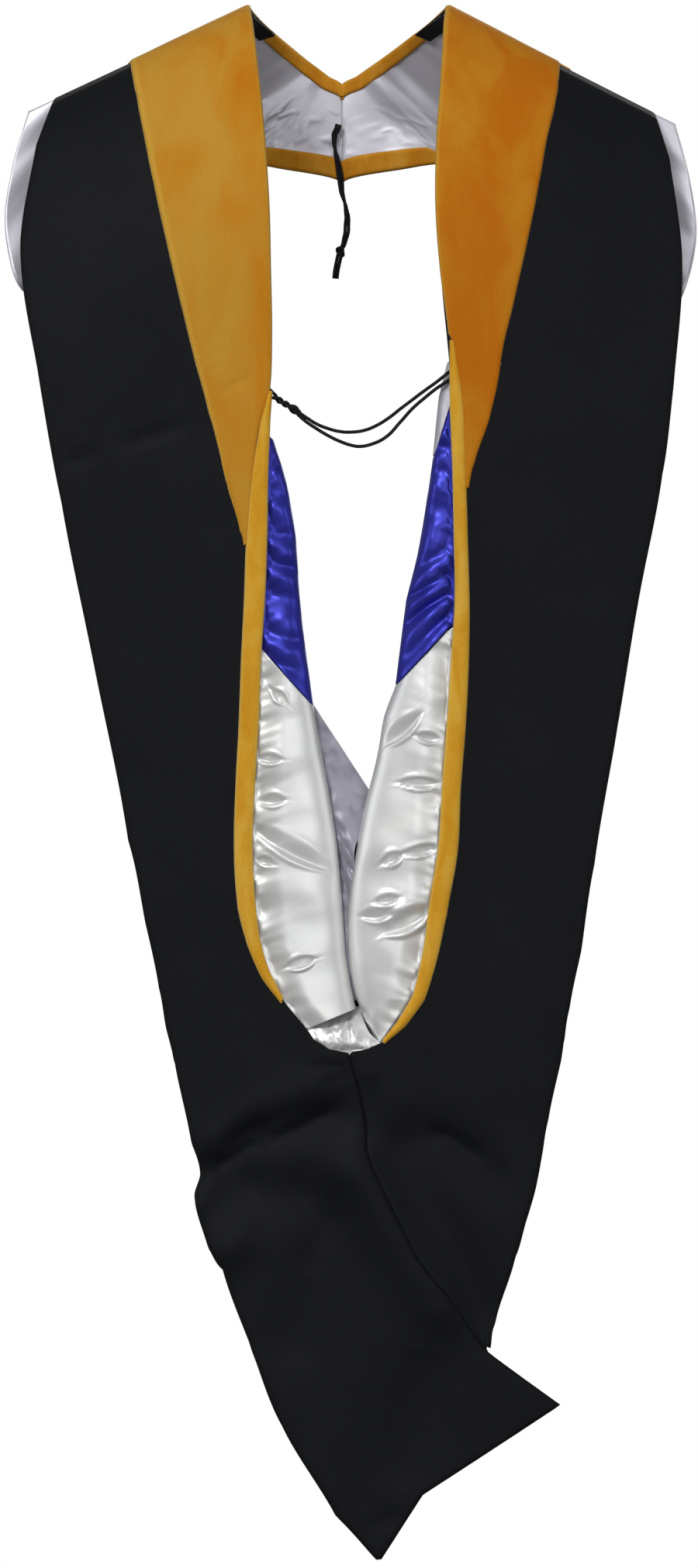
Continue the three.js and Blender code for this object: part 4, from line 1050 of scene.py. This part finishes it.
def addSatinRoll(name, material, cells, crumple):
    side = "left" if name.endswith("left") else "right"
    sign = signOf(side)
    rows = satinRows[name]
    last = len(rows) - 1
    seed = len(name) * 1.7          # another pattern on each roll
    look = satinForm

    def pointAt(u, v):
        row = rowAt(satinColumns, rows, v * last)
        edge = row["edge"] * neckHalf
        roll = row["roll"] * neckHalf
        share = look["rollShare"]
        if u <= share:
            turn = math.radians(90) * (u / share) ** look["cellSpread"]
            across = math.sin(turn)
            x = mix(edge, roll, across)
            at = mix(row["edgeAt"], row["rollAt"], across)
            out = hoodForm["liningOut"] - look["lobeDepth"] * (1 - math.cos(turn))
            fromSeam = openingEdge(side, at) - x
            out += look["puff"] * smoothStep(0, look["puffStart"], fromSeam) * (1 - (u / share) ** 3)
            down = at * hoodLength
            out += seamGathers(down, fromSeam, seed)
            wrinkle = look["wrinkleGain"] * sum(lensWrinkle(sign * x, down, line) for line in satinWrinkles)
            wrinkle += crumple * uneven(sign * x * look["crumple"][0], down * look["crumple"][1], seed)
            if "blue" in name:
                wrinkle += slantFolds(x, down, fromSeam, seed)
            out += wrinkle * smoothStep(0, look["wrinkleStart"], fromSeam) * (1 - (u / share) ** 4)
        else:
            turn = math.radians(look["rollAngle"]) * (u - share) / (1 - share)
            x = roll + look["lobeRoll"] * (1 - math.cos(turn))
            at = row["rollAt"]
            out = hoodForm["liningOut"] - look["lobeDepth"] - look["lobeRoll"] * math.sin(turn)
        return backPoint(sign * x, at, out)

    addCloth(name, *cells, pointAt, hoodForm["satin"], material)


addSatinRoll("lining_upper_right", satinPaintedShade, (60, 40), satinForm["upperCrumple"])
for side in ("left", "right"):
    addSatinRoll(f"lining_blue_{side}", blueSatin, (90, 200), satinForm["blueCrumple"])
    addSatinRoll(f"lining_white_{side}", whiteSatin, (130, 260), satinForm["whiteCrumple"])

# start, end: in neckHalf. Out: depth behind the near wall, in bagDepth.
patchColumns = ("start", "startAt", "end", "endAt", "startOut", "endOut")
centreRows = (
    (-0.392, 0.4461, 0.274, 0.5095, 0.902, 0.902),
    (-0.353, 0.4745, 0.260, 0.5245, 0.902, 0.880),
    (-0.259, 0.5095, 0.080, 0.5395, 0.902, 0.640),
    (-0.165, 0.5445, 0.060, 0.5594, 0.902, 0.600),
    (-0.118, 0.5844, 0.012, 0.5894, 0.902, 0.600),
    (-0.100, 0.6150, 0.015, 0.6180, 0.902, 0.620),
    (-0.100, 0.6390, 0.100, 0.6400, 0.902, 0.700),
)
tuckRows = (
    (-0.384, 0.6553, 0.112, 0.6439, 0.170, 0.880),
    (-0.451, 0.6633, 0.160, 0.6534, 0.150, 0.500),
    (-0.415, 0.6678, 0.225, 0.6618, 0.120, 0.270),
    (-0.368, 0.6713, 0.350, 0.6690, 0.090, 0.120),
    (-0.384, 0.6803, 0.400, 0.6763, 0.077, 0.077),
)


patchForm = {
    "crumple": 0.0012,
    "centreGrain": 0.012,
    "tuckGrain": 0.006,
    "sideFade": 0.15,           # shares of the patch over which its crumpling fades
    "footFade": 0.2,
    "down": 0.8,                # waves down to each grain
    # finer crumpling: share of the height, and waves across and down to each grain
    "fine": (0.4, 2.3, 1.9),
}
pouchForm = {"swell": 0.0052, "swellEnd": 0.8, "seamPlace": -0.0006, "seamDip": 0.0022, "seamWidth": 0.0022,
             "seamStart": 0.3}
# waves: share of the height, waves in a metre across and over the whole length, and seed
crinkleForm = {"height": 0.0011, "start": (0.32, 0.5), "footFade": 0.1,
               "waves": ((1, 190, 22, 6.2), (0.5, 380, 47, 1.4))}


def addSatinPatch(name, rows, cells, grain, seed, bulge, material):
    last = len(rows) - 1
    look = patchForm

    def pointAt(u, v):
        row = rowAt(patchColumns, rows, v * last)
        x = mix(row["start"], row["end"], u) * neckHalf
        at = mix(row["startAt"], row["endAt"], u)
        fade = smoothStep(0, look["sideFade"], u) * smoothStep(0, look["sideFade"], 1 - u)
        fade *= smoothStep(0, look["footFade"], 1 - v)
        share, across, along = look["fine"]
        coarse = uneven(x / grain, at * hoodLength / grain * look["down"], seed)
        fine = uneven(x / grain * across, at * hoodLength / grain * along, seed + 2)
        out = -mix(row["startOut"], row["endOut"], u) * hoodForm["bagDepth"]
        out += look["crumple"] * fade * (coarse + share * fine) + bulge(x, u, v)
        return backPoint(x, at, out)

    addCloth(name, *cells, pointAt, hoodForm["satin"], material)


# The pouch under the rolls swells out on both sides of its seam
def pouchSwell(x, u, v):
    look = pouchForm
    fromSeam = abs(x - look["seamPlace"])
    dip = look["seamDip"] * math.exp(-(fromSeam / look["seamWidth"]) ** 2)
    dip *= smoothStep(0, look["seamStart"], v)
    swell = math.sin(math.pi * min(v / look["swellEnd"], 1)) * math.sin(math.pi * clamp(u))
    return look["swell"] * swell - dip


# The lower half of the centre piece is crinkled where the rolls press on it
def centreCrinkle(x, u, v):
    look = crinkleForm
    crinkle = sum(share * uneven(x * across, v * along, seed) for share, across, along, seed in look["waves"])
    return look["height"] * crinkle * smoothStep(*look["start"], v) * smoothStep(0, look["footFade"], 1 - v)


addSatinPatch("lining_centre", centreRows, (50, 150), patchForm["centreGrain"], 2.2, centreCrinkle,
              satinPaintedDeepShade)
addSatinPatch("lining_tuck", tuckRows, (80, 60), patchForm["tuckGrain"], 5.1, pouchSwell, whiteSatin)
print("satin lining made")

# Front half and neckband

# x in shoulderHalf, y in frontDepth, below: the shoulder line, in hemFall
hemColumns = ("x", "y", "below")
hemRows = (
    (0.930, 0.03, 0.00), (0.975, -0.02, 0.26), (0.995, -0.10, 0.57), (0.955, -0.20, 0.95),
    (0.900, 0.20, 0.98), (0.740, 0.60, 0.90), (0.490, 0.86, 0.82), (0.240, 0.96, 0.83), (0.000, 1.00, 0.94),
)
frontForm = {
    "topStrip": 0.0082,         # velvet turned in along the top edge of the neckband
    "hemStrip": 0.0135,         # velvet turned in along its lower edge
    "cornerWidth": 0.0115,
    "cornerSlant": 0.045,       # how much sooner the corner ends at its lower side, along
    "liningInset": 0.002,
    "shellEnd": 0.985,
    "facingEnd": 0.54,
    "facingFull": 0.8,
    "stripStart": 0.46,
    "hemStart": 7 / 12,
    "cornerStart": 1 / 12,
    "cornerEnd": 0.45,
    "puffLength": 0.8,
    "shoulderGap": 0.0023,
    "seamGap": 0.0001,
    "seamPull": 0.9,            # place along from which the two halves are drawn together
    "cornerOut": -0.0005,       # how far the corner lies inside the turned-in velvet
    "velvetRadius": 0.0022,
    "velvetDrop": 0.0013,
}
puffDirection = Vector((0.45, 0.55, 0.7)).normalized()
frontCrinkle = {
    "streak": (0.0018, 13, 2.0),        # height, waves along and waves across
    "squiggle": (34, 4.5),
    "squiggleWidth": 0.12,
    "leftDepth": 0.0011,
    "rightDepth": 0.0003,
    "fromAlong": (0.62, 0.85),          # where the squiggles begin
    "fromAcross": (0.2, 0.5),
}


# Middle surface of the front half. along: 0 on the shoulder line, 1 in the middle of the chest.
# across: 0 at the neck edge, 1 at the hem.
def frontSurface(side, along, across):
    sign = signOf(side)
    turn = along * math.pi / 2
    hem = rowAt(hemColumns, hemRows, along * (len(hemRows) - 1))
    reach = hoodForm["armReachLeft"] if side == "left" else hoodForm["armReachRight"]
    x = sign * hem["x"] * reach * shoulderHalf
    z = shoulderLine(x) - hem["below"] * hoodForm["hemFall"]
    hemPoint = Vector((x, hem["y"] * hoodForm["frontDepth"], z))
    neck = Vector((sign * neckHalf * math.cos(turn), hoodForm["frontDepth"] * math.sin(turn),
                   -hoodForm["neckDrop"] * (1 - math.cos(turn))))
    puff = hoodForm["puffLeft" if side == "left" else "puffRight"] * 4 * across * (1 - across)
    puff *= math.sin(math.pi * min(along / frontForm["puffLength"], 1))
    lift = Vector((sign * puffDirection.x, puffDirection.y, puffDirection.z)) * puff
    lift.x -= hoodForm["frontShift"] * along
    return neck.lerp(hemPoint, across) + lift


def frontPoint(side, along, across, out):
    step = 0.01
    a = frontSurface(side, min(along + step, 1), across) - frontSurface(side, max(along - step, 0), across)
    b = frontSurface(side, along, across + step) - frontSurface(side, along, across - step)
    normal = a.cross(b).normalized() * -signOf(side)
    point = frontSurface(side, along, across) + normal * out
    centre = signOf(side) * frontForm["seamGap"] - hoodForm["frontShift"]
    point.x = mix(point.x, centre, smoothStep(frontForm["seamPull"], 1, along))
    point.y += frontForm["shoulderGap"] * (1 - along)
    return point


def frontWidth(side, along):
    return (frontSurface(side, along, 0) - frontSurface(side, along, 1)).length


# Layer of the front half. span: its two ends along. edges: gives its two edges across at a place along.
# slants: how much sooner the two ends come at the outer edge.
def addFrontLayer(name, side, span, edges, out, thickness, material, cells, detail=None, rolled=False,
                  slants=(0, 0)):

    def pointAt(u, v):
        along = mix(span[0] - slants[0] * u, span[1] - slants[1] * u, v)
        low, high = edges(along)
        across = mix(low, high, u)
        lift = detail(along, across) if detail else 0
        if rolled:
            width = frontWidth(side, along)
            fromEdge = min(across - low, high - across) * width
            drop = edgeRoll(fromEdge, frontForm["velvetRadius"], frontForm["velvetDrop"])
            lift -= math.copysign(drop, out)
        return frontPoint(side, along, across, out + lift)

    addCloth(name, *cells, pointAt, thickness, material)


def satinCrinkle(side):
    look = frontCrinkle
    seed = 3.7 + signOf(side)
    depth = look[side + "Depth"]
    height, streaksAlong, streaksAcross = look["streak"]
    wavesAlong, wavesAcross = look["squiggle"]

    def heightAt(along, across):
        streak = uneven(along * streaksAlong, across * streaksAcross, seed)
        squiggle = uneven(along * wavesAlong, across * wavesAcross, seed + 5)
        nearCentre = smoothStep(*look["fromAlong"], along) * smoothStep(*look["fromAcross"], across)
        return -height * streak - depth * nearCentre * math.exp(-(squiggle / look["squiggleWidth"]) ** 2)

    return heightAt


def addFrontHalf(side):
    look = frontForm

    def share(along, width):
        return width / frontWidth(side, along)

    def facingEdges(along):
        return 0, mix(look["facingEnd"], 1, smoothStep(0, look["facingFull"], along))

    addFrontLayer(f"front_panel_{side}", side, (0, 1), lambda along: (0, look["shellEnd"]), 0,
                  hoodForm["shell"], blackCloth, (60, 90))
    addFrontLayer(f"front_lining_{side}", side, (0, 1), lambda along: (share(along, look["liningInset"]), 1),
                  hoodForm["liningOut"], hoodForm["satin"], satinPaintedShade, (90, 150), satinCrinkle(side))
    addFrontLayer(f"neckband_velvet_{side}", side, (0, 1), facingEdges,
                  hoodForm["velvetOut"], hoodForm["velvet"], goldNeckband, (70, 110), None, True)
    addFrontLayer(f"neckband_top_{side}", side, (look["stripStart"], 1),
                  lambda along: (0, share(along, look["topStrip"])),
                  hoodForm["turnedOut"], hoodForm["velvet"], goldStrip, (14, 80), None, True,
                  (look["cornerSlant"], 0))
    addFrontLayer(f"neckband_hem_{side}", side, (look["hemStart"], 1),
                  lambda along: (1 - share(along, look["hemStrip"]), 1),
                  hoodForm["turnedOut"], hoodForm["velvet"], goldStrip, (14, 80), None, True)
    addFrontLayer(f"neck_corner_{side}", side, (look["cornerStart"], look["cornerEnd"]),
                  lambda along: (0, share(along, look["cornerWidth"])),
                  hoodForm["turnedOut"] + look["cornerOut"], hoodForm["shell"], blackCloth, (14, 50),
                  slants=(0, look["cornerSlant"]))


for side in ("left", "right"):
    addFrontHalf(side)
print("front half made")

# Cords, knots and button

cordForm = {
    "diameter": 0.0024,
    "pitch": 0.00243,           # between the middles of two strands that lie together
    "loopTwist": 0.010,         # length of one full twist of the end loop, the front cord and its tail
    "frontTwist": 0.075,
    "tailTwist": 0.3,
    "clearance": 0.0005,
    "frontClearance": 0.0009,
    "knotLength": 0.011,
    "knotWidth": 0.0062,
    "knotPoints": 48,
    "knotShares": (0.36, 0.24, 0.32),   # reach of the knot's line in its length, depth and width
    "crossKnotTilt": 36,
    "frontKnotTilt": 66,
    "frontKnotShare": 0.85,
    "loopTurn": (100, 127, 153, 180, 207, 233, 260),    # degrees round the shank
}
buttonForm = {"diameter": 0.012, "thickness": 0.002, "shankDiameter": 0.004, "shankLength": 0.0034,
              "steps": 40}
# Routes in mm: x, distance behind the near wall, z
crossCordRoutes = {
    "cross_cord_upper": (
        (72.5, -2.3, -247.9), (69.3, -3.6, -250.5), (60.8, -5, -257.3), (52.7, -5.5, -263.1),
        (44.3, -5.5, -269.4), (36.1, -5.5, -275.6), (27.7, -5.5, -282.1), (19.5, -5.5, -287.1),
        (11.2, -5.5, -290.4), (2.9, -5.5, -291.6), (-5.4, -5.5, -291.3), (-13.7, -5.5, -289.3),
        (-22, -5.5, -286), (-29, -5.5, -281.6), (-34, -5.5, -278.2),
    ),
    "cross_cord_lower": (
        (72.5, -2.2, -253.6), (69.3, -3.2, -256), (60.8, -5, -261.7), (52.8, -5.5, -268.1),
        (44.2, -5.5, -275.6), (36.1, -5.5, -284.6), (26.1, -5.5, -295), (16.2, -5.5, -299.9),
        (7.9, -5.5, -301.5), (2.9, -5.5, -300.9), (-5.3, -5.5, -298.2), (-13.7, -5.5, -294.2),
        (-23, -5.5, -288.6), (-30, -5.5, -283.8), (-35, -5.5, -279.4),
    ),
}
crossKnot = (-36.8, -5.5, -276.5)
crossLoop = ((-38.5, -5.5, -275.4), (-42, -5.5, -273), (-45.3, -5.5, -271.4), (-48.6, -4.8, -269),
             (-51.2, -3.3, -267))
crossButton = (-0.885, 0.2461)
# Route in mm: x, z
frontCordRoute = (
    (-6.8, -75.8), (-7.6, -78.6), (-9.6, -82.6), (-9.9, -88.8), (-8.9, -96), (-7.2, -103.6), (-5.6, -113.6),
    (-4.5, -123.7), (-2, -132.8), (-0.7, -141.2), (-1.2, -152), (-3.4, -160.6), (-5.2, -164.6),
)
frontCordTail = ((-5.5, -165.2), (-6.6, -170), (-7.6, -174.6), (-8.6, -180), (-9, -184.3))


def atBack(x, out, z):
    place = x / 1000
    return backPoint(place, (shoulderLine(place) - z / 1000) / hoodLength, out / 1000, 0)


def makeCordCurve(name, points):
    curve = bpy.data.curves.new(name, "CURVE")
    curve.dimensions = "3D"
    curve.bevel_depth = cordForm["diameter"] / 2
    curve.bevel_resolution = 4
    curve.resolution_u = 8
    curve.use_fill_caps = True
    spline = curve.splines.new("BEZIER")
    spline.bezier_points.add(len(points) - 1)
    for place, point in zip(spline.bezier_points, points):
        place.co = point
        place.handle_left_type = "AUTO"
        place.handle_right_type = "AUTO"
    curve.materials.append(blackCord)
    return placeObject(name, curve)


def routeLength(points):
    return sum((b - a).length for a, b in zip(points, points[1:]))


# One of two strands that twist round each other along a line. turn is the length of one full twist.
def twistedStrand(line, phase, turn):
    points = []
    run = 0.0
    for i, place in enumerate(line):
        step = line[min(i + 1, len(line) - 1)] - line[max(i - 1, 0)]
        side = Vector((-step.z, 0, step.x)).normalized()
        angle = phase + 2 * math.pi * run / turn
        away = side * math.cos(angle) + Vector((0, math.sin(angle), 0))
        points.append(place + away * cordForm["pitch"] / 2)
        if i + 1 < len(line):
            run += (line[i + 1] - place).length
    return points


# Points added evenly between the points of a line
def finerLine(points, count):
    fine = []
    for a, b in zip(points, points[1:]):
        fine += [a.lerp(b, k / count) for k in range(count)]
    return [*fine, points[-1]]


# Overhand knot: a cord wound on a three-leaved loop, pulled to the size of the knot
def knotPoints(centre, length, degrees):
    width = cordForm["knotWidth"]
    lengthShare, depthShare, widthShare = cordForm["knotShares"]
    count = cordForm["knotPoints"]
    tilt = math.radians(degrees)
    points = []
    for k in range(count):
        t = 2 * math.pi * k / count
        x = (2 + math.cos(3 * t)) * math.cos(2 * t) / 3 * length * lengthShare
        y = math.sin(3 * t) * width * depthShare
        z = (2 + math.cos(3 * t)) * math.sin(2 * t) / 3 * width * widthShare
        points.append(centre + Vector((x * math.cos(tilt) + z * math.sin(tilt), y,
                                       z * math.cos(tilt) - x * math.sin(tilt))))
    return points


# Joins lengths of cord into one mesh piece
def meshFromCords(name, routes):
    bm = bmesh.new()
    for k, points in enumerate(routes):
        cord = makeCordCurve(f"{name}_{k}", points)
        graph = bpy.context.evaluated_depsgraph_get()
        shape = bpy.data.meshes.new_from_object(cord.evaluated_get(graph))
        bm.from_mesh(shape)
        bpy.data.meshes.remove(shape)
        bpy.data.curves.remove(cord.data)
    return addObject(name, bm, blackCord)


def addStrand(name, points):
    length = routeLength(points)
    cord = makeCordCurve(name + "_braid", points)
    finishPiece(cord, name)
    tuple(points[0])
    print(f"{name}: {length:.3f} m")


def addCrossCord():
    look = cordForm
    x, at = crossButton
    wall = backPoint(x * neckHalf, at, -hoodForm["shell"] / 2 - look["clearance"], 0)
    ring = buttonForm["shankDiameter"] / 2 + look["diameter"] / 2 + look["clearance"]
    line = finerLine([atBack(*place) for place in crossLoop], 3)
    aim = math.atan2(line[-1].z - wall.z, line[-1].x - wall.x)
    start = -2 * math.pi * routeLength(line) / look["loopTwist"]
    over = twistedStrand(line, start, look["loopTwist"])
    under = twistedStrand(line, math.pi + start, look["loopTwist"])
    turns = []
    for degrees in look["loopTurn"]:
        angle = aim - math.radians(degrees)
        turns.append(Vector((wall.x + ring * math.cos(angle), wall.y + buttonForm["shankLength"] / 2,
                             wall.z + ring * math.sin(angle))))
    tied = knotPoints(atBack(*crossKnot), look["knotLength"], look["crossKnotTilt"])
    knot = meshFromCords("cross_cord_knot_tied", [[*over, *turns, *reversed(under)], tied])
    finishPiece(knot, "cross_cord_knot")
    for name, route in crossCordRoutes.items():
        addStrand(name, [atBack(*place) for place in route])
    return wall


def addFrontCord():
    look = cordForm
    y = (hoodForm["frontDepth"] + hoodForm["turnedOut"] - hoodForm["velvet"] / 2 - look["frontClearance"]
         - look["diameter"] / 2 - look["pitch"] / 2)
    route = finerLine([Vector((x / 1000, y, z / 1000)) for x, z in frontCordRoute], 2)
    tail = [Vector((x / 1000, y, z / 1000)) for x, z in frontCordTail]
    tied = knotPoints(tail[0], look["knotLength"] * look["frontKnotShare"], look["frontKnotTilt"])
    ends = [twistedStrand(tail, phase, look["tailTwist"]) for phase in (0.0, math.pi)]
    knot = meshFromCords("front_cord_knot_tied", [*ends, tied])
    finishPiece(knot, "front_cord_knot")
    for side, phase in (("left", math.pi), ("right", 0.0)):
        addStrand(f"front_cord_{side}", twistedStrand(route, phase, look["frontTwist"]))


# Shank button: a turned disc with a rounded rim on a short shank
def addButton(wall):
    look = buttonForm
    radius = look["diameter"] / 2
    shank = look["shankDiameter"] / 2
    reach = look["shankLength"]
    thick = look["thickness"]
    profile = [(0, 0), (shank, 0), (shank, reach), (radius * 0.92, reach), (radius, reach + thick * 0.3),
               (radius, reach + thick * 0.7), (radius * 0.9, reach + thick),
               (radius * 0.7, reach + thick * 0.8), (0, reach + thick * 0.75)]
    bm = bmesh.new()
    verts = [bm.verts.new((x, y, 0)) for x, y in profile]
    edges = [bm.edges.new(pair) for pair in zip(verts, verts[1:])]
    bmesh.ops.spin(bm, geom=verts + edges, cent=(0, 0, 0), axis=(0, 1, 0), angle=2 * math.pi,
                   steps=look["steps"], use_merge=True)
    bmesh.ops.remove_doubles(bm, verts=bm.verts, dist=1e-6)
    bmesh.ops.recalc_face_normals(bm, faces=bm.faces)
    bmesh.ops.translate(bm, verts=bm.verts, vec=wall)
    button = addObject("cord_button_moulded", bm, blackButton)
    finishPiece(button, "cord_button")


addButton(addCrossCord())
addFrontCord()
print("cords made")
